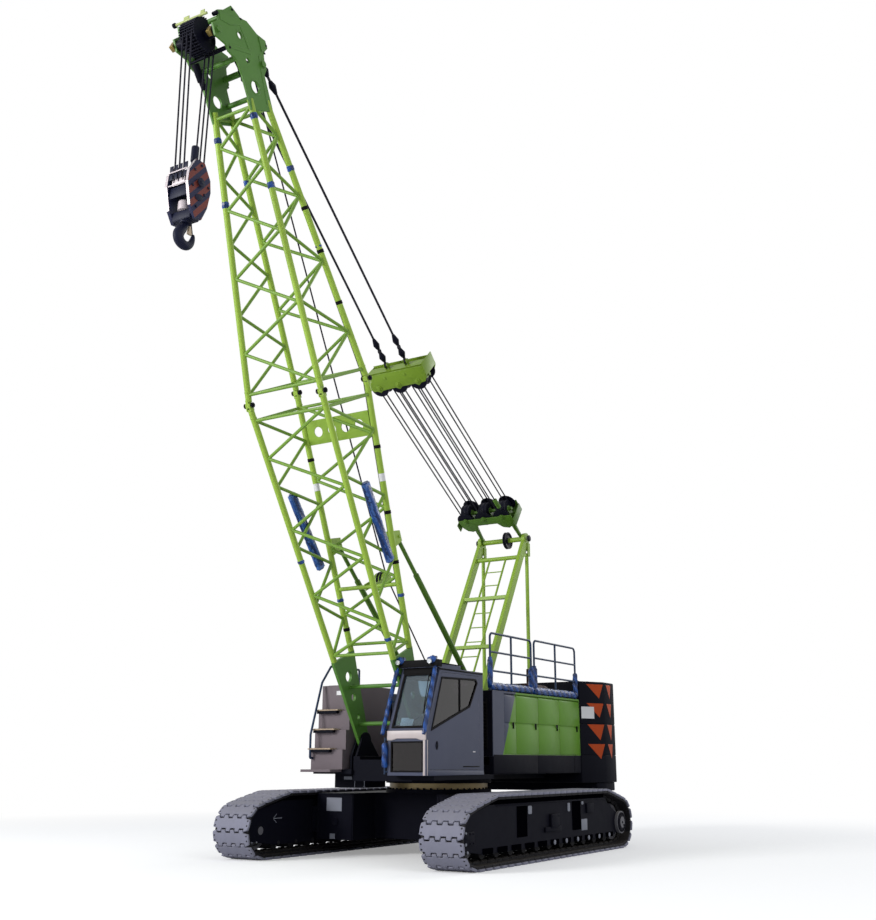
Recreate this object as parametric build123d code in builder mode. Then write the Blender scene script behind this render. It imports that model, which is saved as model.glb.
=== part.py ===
from build123d import *
import os
from math import acos, atan2, cos, degrees, hypot, radians, sin

os.makedirs("parts", exist_ok=True)

# A crawler crane with a two-section lattice boom, its gantry raised and its hook block hung from the boom head.
# Millimetres. +Z is up, the boom points to -Y, and +X is the operator's left, where the cab stands.
# The origin is on the ground under the centre of the slewing ring.

# ---------------------------------------------------------------- driving dimensions
# Crawlers
track_centre = 2140  # centre plane of each crawler from the machine's centre
shoe_width = 800
track_length = 7000  # over the shoes
track_height = 1150
track_end_radius = 490  # over the shoes, round the idler and the sprocket
track_top_half = 2300  # half of the level part of the upper run
shoe_count = 61
ground_shoes = 24  # of them flat on the ground between the end wheels
shoe_gap = 14
shoe_thick = 42
link_width = 360
link_depth = 150  # from the shoe's face to the wheel's rim
fit_gap = 0.3
side_frame_width = 580
side_plate = 50
side_frame_base = 400  # underside of the box between the two side plates
side_frame_top = 860
side_plate_top = 985
skirt_base = 235  # lower edge of the side plates
plate_shoulders = (140, 40)  # of the side plates' level edge beyond the level run, at the idler and at the sprocket
idler_plate = (
    # a side plate's outline round the idler: beyond its axle, above it
    (340, -160),
    (340, 130),
    (270, 250),
    (40, 370),
)
sprocket_plate = (
    # the same round the sprocket
    (-500, 350),
    (90, 110),
    (90, -110),
)
skid_length = 420
skid_place = 1000
roller_radius = 110
roller_count = 11
roller_clearance = 60  # end roller to the idler and the sprocket
roller_shaft_radius = 38
idler_width = 250
axle_radius = 70
hub_radius = 215
hub_reach = 60  # how far the drive hub stands out of the side frame

# Carbody and slewing ring
carbody_half_length = 1550
carbody_base = 280
carbody_top = 1100
carbody_side_gap = 15  # to the inner ends of the shoes
carbody_tongue = 700  # length of each tongue that meets the side frame
carbody_notch_width = 1800
carbody_notch_depth = 720
pedestal_radius = 1010
pedestal_height = 70
ring_radius = 940
ring_bore = 720
ring_height = 110

# Upper frame
upper_half_width = 1490
beam_centre = 560  # centre plane of each main beam
beam_width = 140
beam_base = 1330
beam_top = 1760
bearer_depth = 80
frame_front = -1950
frame_rear = 4150
sill_base = 1440
valve_box_outer = 1330
valve_box_front = -1550
valve_box_rear = -900
valve_box_base = 1200
sill_width = 90
deck_plate = 40
turntable_plate = 50
ring_clearance = 0.3

# Boom
foot_y = -1640
foot_z = 2040
boom_angle = 64.8  # above the horizontal, as it stands
foot_plate_half = 640  # centre plane of each foot plate
foot_plate_thick = 60
foot_eye_radius = 150
foot_pin_radius = 55
pin_gap = 0.1  # radial, between a pin and its eye
lug_plate = 40
lug_gap = 5
section_length = 6500
base_start = 1700  # where the lattice begins, along the boom
base_half_width = 640
base_half_depth = 290
joint_half_width = 781
joint_half_depth = 711
head_start = 11350
head_half_width = 400
head_half_depth = 235
chord_radius = 55
brace_radius = 29
joint_gap = 60  # each chord stops this far from the section joint
section_pin_radius = 32
head_plate_half = 420
head_plate_thick = 36

# Head sheaves, hook block and hoist rope
head_axle_t = 12550
head_axle_n = 700
head_sheave_radius = 250
idler_axle_t = 12080
idler_axle_n = -300
rope_radius = 14
block_top = 10760
block_bottom = 9760
block_half = 250
block_sheave_radius = 190

# Gantry, spreaders and pendants
gantry_half = 553
gantry_top_y = 2820
gantry_top_z = 6470
gantry_foot_y = 260
gantry_foot_z = 2060
gantry_rear_y = 2880
gantry_rear_z = 2000
front_leg_width = 80
front_leg_depth = 170
rear_leg_radius = 40
gantry_eye_radius = 95
gantry_pin_radius = 35
pendant_t = 12430
pendant_n = -470
pendant_half = 230
pendant_pin_y = -1640  # pin line of the upper spreader
pendant_pin_z = 9330
upper_axle_y = -1380
upper_axle_z = 9080
lower_axle_y = 2050
lower_axle_z = 7010
spreader_half = 690
spreader_beam_height = 240
spreader_beam_depth = 70
spreader_group_pitch = 450
spreader_sheave_radius = 190
spreader_sheave_width = 190

# Back-stops
backstop_half = 661
backstop_radius = 54
backstop_bore = 44
backstop_rod_radius = 38
backstop_pin_radius = 28
backstop_foot_y = 1000
backstop_foot_z = 2300
backstop_t = 3600  # the eye on the boom
backstop_n = -680
backstop_barrel = 3950
backstop_rod = 2500
gantry_lug = 14

# Winches
main_drum_y = 470
main_drum_z = 2350
drum_radius = 300
drum_flange_radius = 400
drum_half = 400
luff_drum_y = 1760
luff_drum_z = 2250

# Housings, cab, tank and counterweight
housing_inner = 740
housing_front = -530
housing_rear = 3350
housing_top = 2950
door_base = 1770
door_top = 2910
door_thick = 40
door_gap = 8
hinge_inset = 10  # pivot pin, in from the door's face
hinge_setback = 20  # and back from its hinged edge
hinge_radius = 6
hinge_length = 40  # of pin inside the door
wall = 40
cab_inner = 722
cab_front = -2865
cab_rear = -900
cab_base = 1440
cab_brow = 2160  # foot of the sloping windscreen
latch_place = 330  # of the door's lever behind the cab's front
latch_width = 24
latch_length = 90
latch_drop = 185
latch_thick = 14
cab_roof = 3240
cab_roof_front = -2410
cab_wall = 45
weight_half = 1800
weight_front = 3400
weight_rear = 4700
weight_base = 1230
weight_top = 3365
weight_chamfer = 600
tray_depth = 170
tray_front = 3800
tray_inset = 40  # of the lowest block inside the others

# Smaller sizes of the superstructure
post_width = 40
engine_clearance = 30
engine_front = 1150
engine_rear = 2700
engine_height = 850
silencer_x = 1000
silencer_front = 1750
silencer_length = 900
silencer_radius = 115
silencer_pipe_radius = 45
silencer_pipe_top = 3520
tank_inner = 780
tank_base = 1530
tank_top = 3050
tank_front_top = -1790
tank_first_tread = 2580
tank_step_rise = 350
tank_tread = 100
tank_steps = 3
step_reach = 280  # foot plate, forward of the tank
step_overlap = 60  # and under it
step_thick = 45
screen_length = 1060
rear_window_base = 2300
glass_thick = 8
seat_y = -1650
rail_radius = 21
rail_bend = 90
drum_shaft_radius = 50
ladder_top = 6020
ladder_foot = 2800
gantry_cross_heights = (5070, 3970, ladder_foot)
ladder_half = 200
ladder_rungs = 9

# Smaller sizes of the boom
brace_draw_in = 34  # how far inside its chord's centre line a brace aims
fork_spread = 38  # from a chord's centre plane to the middle of a fork plate
fork_plate = 22
fork_length = 140
foot_tube_radius = 36
foot_holes = (
    # place along the boom, radius
    (1250, 95),
    (850, 70),
    (470, 50),
)
tie_plate_start = 5500
tie_plate_length = 450
tie_plate_thick = 16
tie_hole_radius = 92
guide_t = 2800
guide_n = -780
guide_half = 110
stop_lug_half = 56
stop_slot_half = 40
stop_slot_floor = -545
stop_eye_radius = 42
stop_lug = (
    # along the boom, below its centre line
    (3450, -440),
    (3760, -460),
    (3700, -740),
    (3500, -740),
)
guide_radius = 136
hoist_line_x = 75
strut_width = 90
strut_depth = 190
strut_ends = (
    # place along the boom, below its centre line
    (3300, -150),
    (4760, 120),
)

# Smaller sizes of the head, the block and the spreaders
head_outline = (
    # along the boom, below its centre line
    (11280, 300),
    (11860, 340),
    (12100, 390),
    (12220, 550),
    (12330, 580),
    (12450, 800),
    (12650, 800),
    (12720, 620),
    (12880, 600),
    (12900, 430),
    (13000, 200),
    (12820, 20),
    (12790, -140),
    (12600, -350),
    (12510, -550),
    (12380, -560),
    (12290, -420),
    (12170, -390),
    (12000, -390),
    (11900, -290),
    (11280, -290),
)
head_holes = (
    # along the boom, below its centre line, radius
    (12520, 150, 60),
    (12110, 90, 45),
    (11670, 50, 110),
)
head_ties = (
    # along the boom, below its centre line, radius
    (12850, 330, 45),
    (12150, 300, 45),
    (11600, -190, 45),
)
head_axle_radius = 55
pendant_pin_radius = 30
sheave_width = 60
groove_width = 36
head_sheave_places = (-70, 25, 120)
idler_sheave_radius = 176
block_sheave_places = (-95, 0, 95)
cheek_thick = 60
cheek_outline = (
    # across the block, above its lowest point
    (-60, 0),
    (80, 20),
    (190, 260),
    (250, 560),
    (230, 760),
    (90, 1000),
    (-90, 1000),
    (-230, 760),
    (-250, 560),
    (-170, 180),
)
block_axle_radius = 50
guard_reach = 160
hook_shank = 110
hook_shank_radius = 48
hook_bowl_radius = 132
hook_stations = (
    # angle round the bowl from the throat's side, radius of the bar
    (60, 48),
    (0, 65),
    (-75, 72),
    (-130, 55),
    (-175, 27),
)
pendant_link = 30
pendant_radius = 22
upper_beam_place = 250
lower_beam_place = 250
spreader_cheek = 150
spreader_axle_radius = 38
fall_steps = (-50, 50)
foot_tubes = (
    # place along the boom, below its centre line
    (330, 0),
    (1050, 0),
)

boom_dir = Vector(0, -cos(radians(boom_angle)), sin(radians(boom_angle)))
boom_plane = Plane(origin=(0, foot_y, foot_z), x_dir=boom_dir, z_dir=(1, 0, 0))
axle_y = track_length / 2 - track_end_radius
axle_z = track_end_radius


def boom_point(t, n, x):
    """A point t along the boom from its foot pins, n below its centre line and x to the left."""
    return boom_plane.from_local_coords(Vector(t, n, x))


def rod(start, end, radius):
    """A round bar from start to end, added to the part being built."""
    start, end = Vector(*start), Vector(*end)
    axis = end - start
    with BuildSketch(Plane(origin=start, z_dir=axis), mode=Mode.PRIVATE) as section:
        Circle(radius)
    extrude(section.sketch, amount=axis.length)


def bar(start, end, width, depth):
    """A flat bar from start to end, its width along X."""
    start, end = Vector(*start), Vector(*end)
    axis = end - start
    with BuildSketch(Plane(origin=start, x_dir=(1, 0, 0), z_dir=axis), mode=Mode.PRIVATE) as section:
        Rectangle(width, depth)
    extrude(section.sketch, amount=axis.length)


def block(x0, x1, y0, y1, z0, z1, mode=Mode.ADD):
    """A box between two corners, added to or cut from the part being built."""
    with Locations(((x0 + x1) / 2, (y0 + y1) / 2, (z0 + z1) / 2)):
        Box(abs(x1 - x0), abs(y1 - y0), abs(z1 - z0), mode=mode)


def side_plate_of(points, x0, x1, mode=Mode.ADD):
    """A flat plate whose outline is given as (y, z) points, between x0 and x1."""
    with BuildSketch(Plane.YZ.offset(x0), mode=Mode.PRIVATE) as outline:
        with BuildLine():
            Polyline(*points, close=True)
        make_face()
    extrude(outline.sketch, amount=x1 - x0, mode=mode)


def disc(y, z, radius, x0, x1, mode=Mode.ADD):
    """A cylinder along X between x0 and x1."""
    with BuildSketch(Plane.YZ.offset(x0), mode=Mode.PRIVATE) as outline:
        with Locations((y, z)):
            Circle(radius)
    extrude(outline.sketch, amount=x1 - x0, mode=mode)


# ---------------------------------------------------------------- crawlers
wheel_radius = track_end_radius - link_depth - fit_gap


def track_corner(inset):
    """Angle at which the sloping upper run leaves the end circle, and the circle's radius."""
    radius = track_end_radius - inset
    rise = track_height - inset - axle_z
    run = track_top_half - axle_y
    return radius, degrees(atan2(rise, run) - acos(radius / hypot(rise, run)))


def track_outline(inset):
    """The closed loop of the track, this far inside the shoes' outer faces, in the YZ plane."""
    radius, leave = track_corner(inset)
    top = track_height - inset
    with BuildLine(mode=Mode.PRIVATE) as loop:
        bottom = Line((-axle_y, inset), (axle_y, inset))
        rear = CenterArc((axle_y, axle_z), radius, -90, 90 + leave)
        Line(rear @ 1, (track_top_half, top))
        Line((track_top_half, top), (-track_top_half, top))
        front = CenterArc((-axle_y, axle_z), radius, 180 - leave, 90 + leave)
        Line((-track_top_half, top), front @ 0)
    return loop.wires()[0]


def shoe_points():
    """The outline of the shoes: each is a straight pad across the loop of the links."""
    loop = track_outline(shoe_thick)
    flat = 2 * axle_y
    runs = (
        # first length along the loop, last length, number of shoes
        (0, flat, ground_shoes),
        (flat, loop.length, shoe_count - ground_shoes),
    )
    points = []
    for first, last, count in runs:
        pitch = (last - first) / count
        for shoe in range(count):
            start = loop.position_at((first + shoe * pitch + shoe_gap / 2) / loop.length)
            end = loop.position_at((first + (shoe + 1) * pitch - shoe_gap / 2) / loop.length)
            along = (end - start).normalized()
            outward = Vector(along.Y, -along.X) * shoe_thick
            points += [start, start + outward, end + outward, end]
    return points


def roller_place(number):
    """Y of a bottom roller: the rollers share the run between the idler and the sprocket."""
    last = axle_y - wheel_radius - roller_clearance - roller_radius
    return last * (2 * number / (roller_count - 1) - 1)


def make_track(side):
    """One fixed loop: shoes over their full width, and the links under them."""
    with BuildPart() as track:
        with BuildSketch(Plane.YZ.offset(side * track_centre - shoe_width / 2)):
            with BuildLine():
                Polyline(*shoe_points(), close=True)
            make_face()
            with BuildLine():
                add(track_outline(2 * shoe_thick))
            make_face(mode=Mode.SUBTRACT)
        extrude(amount=shoe_width)
        with BuildSketch(Plane.YZ.offset(side * track_centre - link_width / 2)):
            with BuildLine():
                add(track_outline(1.5 * shoe_thick))
            make_face()
            with BuildLine():
                add(track_outline(link_depth))
            make_face(mode=Mode.SUBTRACT)
        extrude(amount=link_width)
    return track


def make_side_frame(side):
    """The box between the idler and the sprocket, its side plates, skids and roller seats."""
    inner = side * track_centre - side_frame_width / 2
    outer = inner + side_frame_width
    wheel_radius = track_end_radius - link_depth
    box_half = axle_y - wheel_radius - 30
    with BuildPart() as frame:
        block(inner, outer, -box_half, box_half, side_frame_base, side_frame_top)
        outline = [(-axle_y - out, axle_z + up) for out, up in idler_plate]
        outline.append((-track_top_half - plate_shoulders[0], side_plate_top))
        outline.append((track_top_half + plate_shoulders[1], side_plate_top))
        outline += [(axle_y + out, axle_z + up) for out, up in sprocket_plate]
        outline += [(box_half, skirt_base), (-box_half, skirt_base)]
        side_plate_of(outline, inner, inner + side_plate)
        side_plate_of(outline, outer - side_plate, outer)
        for place in (-skid_place, skid_place):
            block(
                inner + side_frame_width / 2 - link_width / 2,
                inner + side_frame_width / 2 + link_width / 2,
                place - skid_length / 2,
                place + skid_length / 2,
                side_frame_top,
                track_height - link_depth - fit_gap,
            )
        for place in (-axle_y, axle_y):
            disc(place, axle_z, axle_radius + pin_gap, inner, outer, mode=Mode.SUBTRACT)
        for number in range(roller_count):
            place = roller_place(number)
            seat = roller_shaft_radius + pin_gap
            disc(place, link_depth + roller_radius + fit_gap, seat, inner, outer, mode=Mode.SUBTRACT)
    return frame


track_left = make_track(1)
track_left.part.label = "track_left"
export_step(track_left.part, "parts/track_left.step")

track_right = make_track(-1)
track_right.part.label = "track_right"
export_step(track_right.part, "parts/track_right.step")

crawler_frame_left = make_side_frame(1)
crawler_frame_left.part.label = "crawler_frame_left"
export_step(crawler_frame_left.part, "parts/crawler_frame_left.step")

crawler_frame_right = make_side_frame(-1)
crawler_frame_right.part.label = "crawler_frame_right"
export_step(crawler_frame_right.part, "parts/crawler_frame_right.step")

# Idlers at the front: a rimmed wheel on an axle across the side plates.
with BuildPart() as front_idlers:
    for side in (-1, 1):
        centre = side * track_centre
        disc(-axle_y, axle_z, wheel_radius, centre - idler_width / 2, centre + idler_width / 2)
        for face in (-1, 1):
            edge = centre + face * idler_width / 2
            disc(-axle_y, axle_z, wheel_radius - 70, edge - 45, edge + 45, mode=Mode.SUBTRACT)
        disc(-axle_y, axle_z, axle_radius, centre - side_frame_width / 2, centre + side_frame_width / 2)
        disc(-axle_y, axle_z, axle_radius + 60, centre - idler_width / 2, centre + idler_width / 2)
front_idlers.part.label = "front_idlers"
export_step(front_idlers.part, "parts/front_idlers.step")

# Drive sprockets at the rear, each with its gear hub outside the side frame.
with BuildPart() as drive_sprockets:
    for side in (-1, 1):
        centre = side * track_centre
        face = centre + side * side_frame_width / 2
        disc(axle_y, axle_z, wheel_radius, centre - idler_width / 2, centre + idler_width / 2)
        disc(axle_y, axle_z, axle_radius, centre - side_frame_width / 2, centre + side_frame_width / 2)
        disc(axle_y, axle_z, hub_radius, face + side * fit_gap, face + side * hub_reach)
        disc(axle_y, axle_z, axle_radius, face, face + side * hub_reach)
        disc(axle_y, axle_z, hub_radius / 2, face + side * hub_reach, face + side * (hub_reach + 25))
drive_sprockets.part.label = "drive_sprockets"
export_step(drive_sprockets.part, "parts/drive_sprockets.step")

# Bottom rollers, each on its own shaft across the side plates.
with BuildPart() as bottom_rollers:
    roller_z = link_depth + roller_radius + fit_gap
    for side in (-1, 1):
        centre = side * track_centre
        for number in range(roller_count):
            place = roller_place(number)
            disc(place, roller_z, roller_radius, centre - link_width / 2, centre + link_width / 2)
            disc(place, roller_z, roller_shaft_radius, centre - side_frame_width / 2, centre + side_frame_width / 2)
bottom_rollers.part.label = "bottom_rollers"
export_step(bottom_rollers.part, "parts/bottom_rollers.step")

# ---------------------------------------------------------------- carbody and slewing ring
carbody_half = track_centre - side_frame_width / 2
ring_base = carbody_top + pedestal_height
ring_top = ring_base + ring_height
with BuildPart() as carbody:
    reach = track_centre - shoe_width / 2 - carbody_side_gap
    block(-reach, reach, -carbody_half_length, carbody_half_length, carbody_base, carbody_top)
    for place in (-carbody_half_length, carbody_half_length - carbody_tongue):
        block(-carbody_half, carbody_half, place, place + carbody_tongue, side_frame_base, side_frame_top)
    notch = carbody_notch_width / 2
    for end in (-1, 1):
        inner_end = end * (carbody_half_length - carbody_notch_depth)
        block(-notch, notch, inner_end, end * carbody_half_length, carbody_base, carbody_top, mode=Mode.SUBTRACT)
    with BuildSketch(Plane.XY.offset(carbody_top)):
        Circle(pedestal_radius)
    extrude(amount=pedestal_height)
carbody.part.label = "carbody"
export_step(carbody.part, "parts/carbody.step")

with BuildPart() as slewing_ring:
    with BuildSketch(Plane.XY.offset(ring_base)):
        Circle(ring_radius)
        Circle(ring_bore, mode=Mode.SUBTRACT)
    extrude(amount=ring_height)
slewing_ring.part.label = "slewing_ring"
export_step(slewing_ring.part, "parts/slewing_ring.step")

# ---------------------------------------------------------------- upper frame
beam_outer = beam_centre + beam_width / 2
lug_inner = foot_plate_half - foot_plate_thick / 2 - lug_gap - lug_plate
lug_outer = foot_plate_half + foot_plate_thick / 2 + lug_gap
with BuildPart() as upper_frame:
    with BuildSketch(Plane.XY.offset(ring_top + ring_clearance)):
        Circle(pedestal_radius)
    extrude(amount=beam_base + deck_plate - ring_top - ring_clearance)
    for side in (-1, 1):
        block(
            side * (beam_centre - beam_width / 2),
            side * beam_outer,
            frame_front,
            frame_rear,
            beam_base,
            beam_top,
        )
        # Side sill under the housing, with the cross members that carry it
        block(
            side * (upper_half_width - sill_width),
            side * upper_half_width,
            housing_front,
            housing_rear,
            sill_base,
            beam_top,
        )
        for place in (housing_front, 400, 1370, 2350, housing_rear - 120):
            block(side * beam_outer, side * upper_half_width, place, place + 120, sill_base, sill_base + 160)
        # Two lugs astride each boom foot plate
        for inner in (lug_inner, lug_outer):
            x0 = side * inner
            x1 = side * (inner + lug_plate)
            side_plate_of(
                (
                    (foot_y - 300, beam_base + 100),
                    (foot_y + 420, beam_base + 100),
                    (foot_y + 420, beam_top),
                    (foot_y + foot_eye_radius, foot_z),
                    (foot_y - foot_eye_radius, foot_z),
                    (foot_y - 300, beam_top),
                ),
                min(x0, x1),
                max(x0, x1),
            )
            disc(foot_y, foot_z, foot_eye_radius, min(x0, x1), max(x0, x1))
        ends = (side * lug_inner, side * (lug_outer + lug_plate))
        disc(foot_y, foot_z, foot_pin_radius, min(ends), max(ends))
        # Lugs astride each gantry foot, with their pins
        for place, height in ((gantry_foot_y, gantry_foot_z), (gantry_rear_y, gantry_rear_z)):
            for face in (-1, 1):
                x0 = side * gantry_half + face * (front_leg_width / 2 + 2)
                x1 = x0 + face * gantry_lug
                outline = (
                    (place - 160, beam_top - 100),
                    (place + 160, beam_top - 100),
                    (place + 80, height + 60),
                    (place - 80, height + 60),
                )
                side_plate_of(outline, min(x0, x1), max(x0, x1))
            half = front_leg_width / 2 + 2 + gantry_lug
            disc(place, height, gantry_pin_radius, side * gantry_half - half, side * gantry_half + half)
        # Plate and pin of each back-stop
        x0 = side * (gantry_half + front_leg_width / 2 + 2)
        x1 = side * (backstop_half - backstop_radius - 6)
        outline = (
            (backstop_foot_y - 200, beam_top - 100),
            (backstop_foot_y + 200, beam_top - 100),
            (backstop_foot_y + 70, backstop_foot_z + 70),
            (backstop_foot_y - 70, backstop_foot_z + 70),
        )
        side_plate_of(outline, min(x0, x1), max(x0, x1))
        ends = (x0, side * (backstop_half + backstop_radius))
        disc(backstop_foot_y, backstop_foot_z, backstop_pin_radius, min(ends), max(ends))
    block(-beam_outer, beam_outer, frame_front, frame_rear, beam_base, beam_base + deck_plate)
    for place in (frame_front, -900, 900, frame_rear - 60):
        block(-beam_outer, beam_outer, place, place + 60, beam_base, beam_top - 60)
    # Cab bearer on the left, in front of the housing
    bearer_top = cab_base - fit_gap
    block(beam_outer, upper_half_width, cab_rear - 60, housing_front, bearer_top - bearer_depth, bearer_top)
    block(lug_outer + lug_plate, upper_half_width, cab_front + 250, cab_rear - 60, bearer_top - bearer_depth, bearer_top)
    # Step tank bearer on the right
    bearer_top = tank_base - fit_gap
    step_rear = tank_front_top - tank_steps * tank_tread + step_overlap
    block(-upper_half_width, -beam_outer, step_rear + 20, housing_front, bearer_top - bearer_depth, bearer_top)
    # Valve box hung between that bearer and the beam
    block(-valve_box_outer, -beam_outer, valve_box_front, valve_box_rear, valve_box_base, bearer_top - bearer_depth / 2)
upper_frame.part.label = "upper_frame"
export_step(upper_frame.part, "parts/upper_frame.step")

# ---------------------------------------------------------------- counterweight
with BuildPart() as counterweight:
    with BuildSketch(Plane.XY.offset(weight_base)):
        with BuildLine():
            Polyline(
                (-weight_half, weight_front + weight_chamfer),
                (-weight_half, weight_rear - weight_chamfer / 2),
                (-weight_half + weight_chamfer / 2, weight_rear),
                (weight_half - weight_chamfer / 2, weight_rear),
                (weight_half, weight_rear - weight_chamfer / 2),
                (weight_half, weight_front + weight_chamfer),
                (upper_half_width, weight_front),
                (-upper_half_width, weight_front),
                close=True,
            )
        make_face()
    extrude(amount=weight_top - weight_base)
    # Lowest block, set in and far enough back to swing past the crawlers
    spread = (weight_half - upper_half_width) * (tray_front - weight_front) / weight_chamfer
    front_half = upper_half_width + spread - tray_inset
    tray_half = weight_half - tray_inset
    with BuildSketch(Plane.XY.offset(weight_base - tray_depth)):
        with BuildLine():
            Polyline(
                (-front_half, tray_front),
                (-tray_half, weight_front + weight_chamfer),
                (-tray_half, weight_rear - weight_chamfer / 2),
                (-weight_half + weight_chamfer / 2, weight_rear - tray_inset),
                (weight_half - weight_chamfer / 2, weight_rear - tray_inset),
                (tray_half, weight_rear - weight_chamfer / 2),
                (tray_half, weight_front + weight_chamfer),
                (front_half, tray_front),
                close=True,
            )
        make_face()
    extrude(amount=tray_depth)
    # Slot for the frame's tail
    tail = beam_outer + 20
    block(-tail, tail, weight_front, frame_rear + fit_gap, beam_base - fit_gap, beam_top + fit_gap, mode=Mode.SUBTRACT)
counterweight.part.label = "counterweight"
export_step(counterweight.part, "parts/counterweight.step")

# ---------------------------------------------------------------- housings and their doors
housing_base = beam_top + fit_gap
door_table = (
    # side, label, front edge, rear edge
    (1, "side_door_1", -80, 410),
    (1, "side_door_2", 410, 1370),
    (1, "side_door_3", 1370, 2350),
    (1, "side_door_4", 2350, 3330),
    (-1, "pump_door_1", 610, 1970),
    (-1, "pump_door_2", 1970, 3330),
)


def pivot_pins(hinge, low, high):
    """Two pins on a door's hinge line, out of the edges below and above it."""
    for base, top in ((low, low + door_gap / 2 + hinge_length), (high - door_gap / 2 - hinge_length, high)):
        with BuildSketch(Plane.XY.offset(base), mode=Mode.PRIVATE) as pin:
            with Locations(hinge):
                Circle(hinge_radius)
        extrude(pin.sketch, amount=top - base)


def pivot_holes(hinge, low, high):
    """The holes of those pins in the door itself."""
    for base, top in ((low, low + hinge_length + 2), (high - hinge_length - 2, high)):
        with BuildSketch(Plane.XY.offset(base), mode=Mode.PRIVATE) as hole:
            with Locations(hinge):
                Circle(hinge_radius + pin_gap / 2)
        extrude(hole.sketch, amount=top - base, mode=Mode.SUBTRACT)


def make_housing(side):
    """A hollow housing with one long side opening, and posts behind the joints of its doors."""
    doors = [row for row in door_table if row[0] == side]
    front = doors[0][2]
    rear = doors[-1][3]
    face = side * upper_half_width
    with BuildPart() as housing:
        block(side * housing_inner, face, housing_front, housing_rear, housing_base, housing_top)
        block(
            side * (housing_inner + wall),
            side * (upper_half_width - wall),
            housing_front + wall,
            housing_rear - wall,
            housing_base + wall,
            housing_top - wall,
            mode=Mode.SUBTRACT,
        )
        block(
            side * (upper_half_width - wall),
            face,
            front - door_gap / 2,
            rear + door_gap / 2,
            housing_base + wall,
            door_top + door_gap / 2,
            mode=Mode.SUBTRACT,
        )
        for row in doors[1:]:
            block(
                side * (upper_half_width - door_thick - 2 * door_gap - post_width),
                side * (upper_half_width - door_thick - 2 * door_gap),
                row[2] - post_width / 2,
                row[2] + post_width / 2,
                housing_base + wall,
                housing_top - wall,
            )
        for row in doors:
            hinge = (side * (upper_half_width - hinge_inset), row[2] + door_gap / 2 + hinge_setback)
            pivot_pins(hinge, housing_base + wall, door_top + door_gap / 2)
    return housing


engine_housing = make_housing(1)
engine_housing.part.label = "engine_housing"
export_step(engine_housing.part, "parts/engine_housing.step")

pump_housing = make_housing(-1)
pump_housing.part.label = "pump_housing"
export_step(pump_housing.part, "parts/pump_housing.step")

for side, label, front, rear in door_table:
    with BuildPart() as door:
        block(
            side * (upper_half_width - door_thick),
            side * upper_half_width,
            front + door_gap / 2,
            rear - door_gap / 2,
            housing_base + wall + door_gap / 2,
            door_top - door_gap / 2,
        )
        hinge = (side * (upper_half_width - hinge_inset), front + door_gap / 2 + hinge_setback)
        pivot_holes(hinge, housing_base + wall + door_gap / 2, door_top - door_gap / 2)
    door.part.label = label
    export_step(door.part, f"parts/{label}.step")

with BuildPart() as engine_block:
    block(
        housing_inner + wall + engine_clearance,
        upper_half_width - engine_clearance - 150,
        engine_front,
        engine_rear,
        housing_base + wall + fit_gap,
        housing_base + wall + engine_height,
    )
engine_block.part.label = "engine_block"
export_step(engine_block.part, "parts/engine_block.step")

# Silencer on the engine housing's roof
with BuildPart() as silencer:
    with BuildSketch(Plane.XZ.offset(-silencer_front)):
        with Locations((silencer_x, housing_top + silencer_radius + 40)):
            Circle(silencer_radius)
    extrude(amount=-silencer_length)
    for place in (silencer_front + 100, silencer_front + silencer_length - 140):
        block(
            silencer_x - 60, silencer_x + 60, place, place + 40, housing_top + fit_gap, housing_top + silencer_radius
        )
    rod(
        (silencer_x, silencer_front + 200, housing_top + silencer_radius),
        (silencer_x, silencer_front + 200, silencer_pipe_top),
        silencer_pipe_radius,
    )
silencer.part.label = "silencer"
export_step(silencer.part, "parts/silencer.step")

# ---------------------------------------------------------------- step tank on the right
with BuildPart() as step_tank:
    tank_rear = housing_front - fit_gap
    profile = [(tank_rear, tank_base), (tank_rear, tank_top), (tank_front_top, tank_top)]
    for number in range(tank_steps):
        tread = tank_first_tread - number * tank_step_rise
        profile.append((tank_front_top - number * tank_tread, tread))
        profile.append((tank_front_top - (number + 1) * tank_tread, tread))
    profile.append((tank_front_top - tank_steps * tank_tread, tank_base))
    side_plate_of(profile, -upper_half_width, -tank_inner)
    foot = tank_front_top - tank_steps * tank_tread
    block(-upper_half_width - 20, -tank_inner - 60, foot - step_reach, foot + step_overlap, tank_base - step_thick, tank_base)
step_tank.part.label = "step_tank"
export_step(step_tank.part, "parts/step_tank.step")

# ---------------------------------------------------------------- cab
cab_outer = upper_half_width
cab_profile = (
    (cab_front, cab_base),
    (cab_front, cab_brow),
    (cab_roof_front, cab_roof),
    (cab_rear, cab_roof),
    (cab_rear, cab_base),
)
screen_foot = Vector(cab_front, cab_brow)
screen_top = Vector(cab_roof_front, cab_roof)
screen_dir = (screen_top - screen_foot).normalized()
screen_in = Vector(screen_dir.Y, -screen_dir.X)


def screen_band(low, high, outside, inside):
    """Corners of a band of the sloping windscreen, between two heights along it."""
    foot = screen_foot + screen_dir * low
    head = screen_foot + screen_dir * high
    corners = (foot - screen_in * outside, head - screen_in * outside, head + screen_in * inside, foot + screen_in * inside)
    return [(corner.X, corner.Y) for corner in corners]


door_outline = (
    (cab_front + 75, cab_base + 90),
    (cab_front + 75, cab_brow - 10),
    (cab_roof_front + 40, cab_roof - 80),
    (cab_rear - 150, cab_roof - 80),
    (cab_rear - 150, cab_base + 90),
)
window_outline = (
    (cab_front + 145, cab_brow),
    (cab_roof_front + 40, cab_roof - 160),
    (cab_rear - 260, cab_roof - 130),
    (cab_rear - 200, cab_roof - 200),
    (cab_rear - 490, cab_roof - 640),
    (cab_rear - 860, cab_roof - 760),
)


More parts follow.
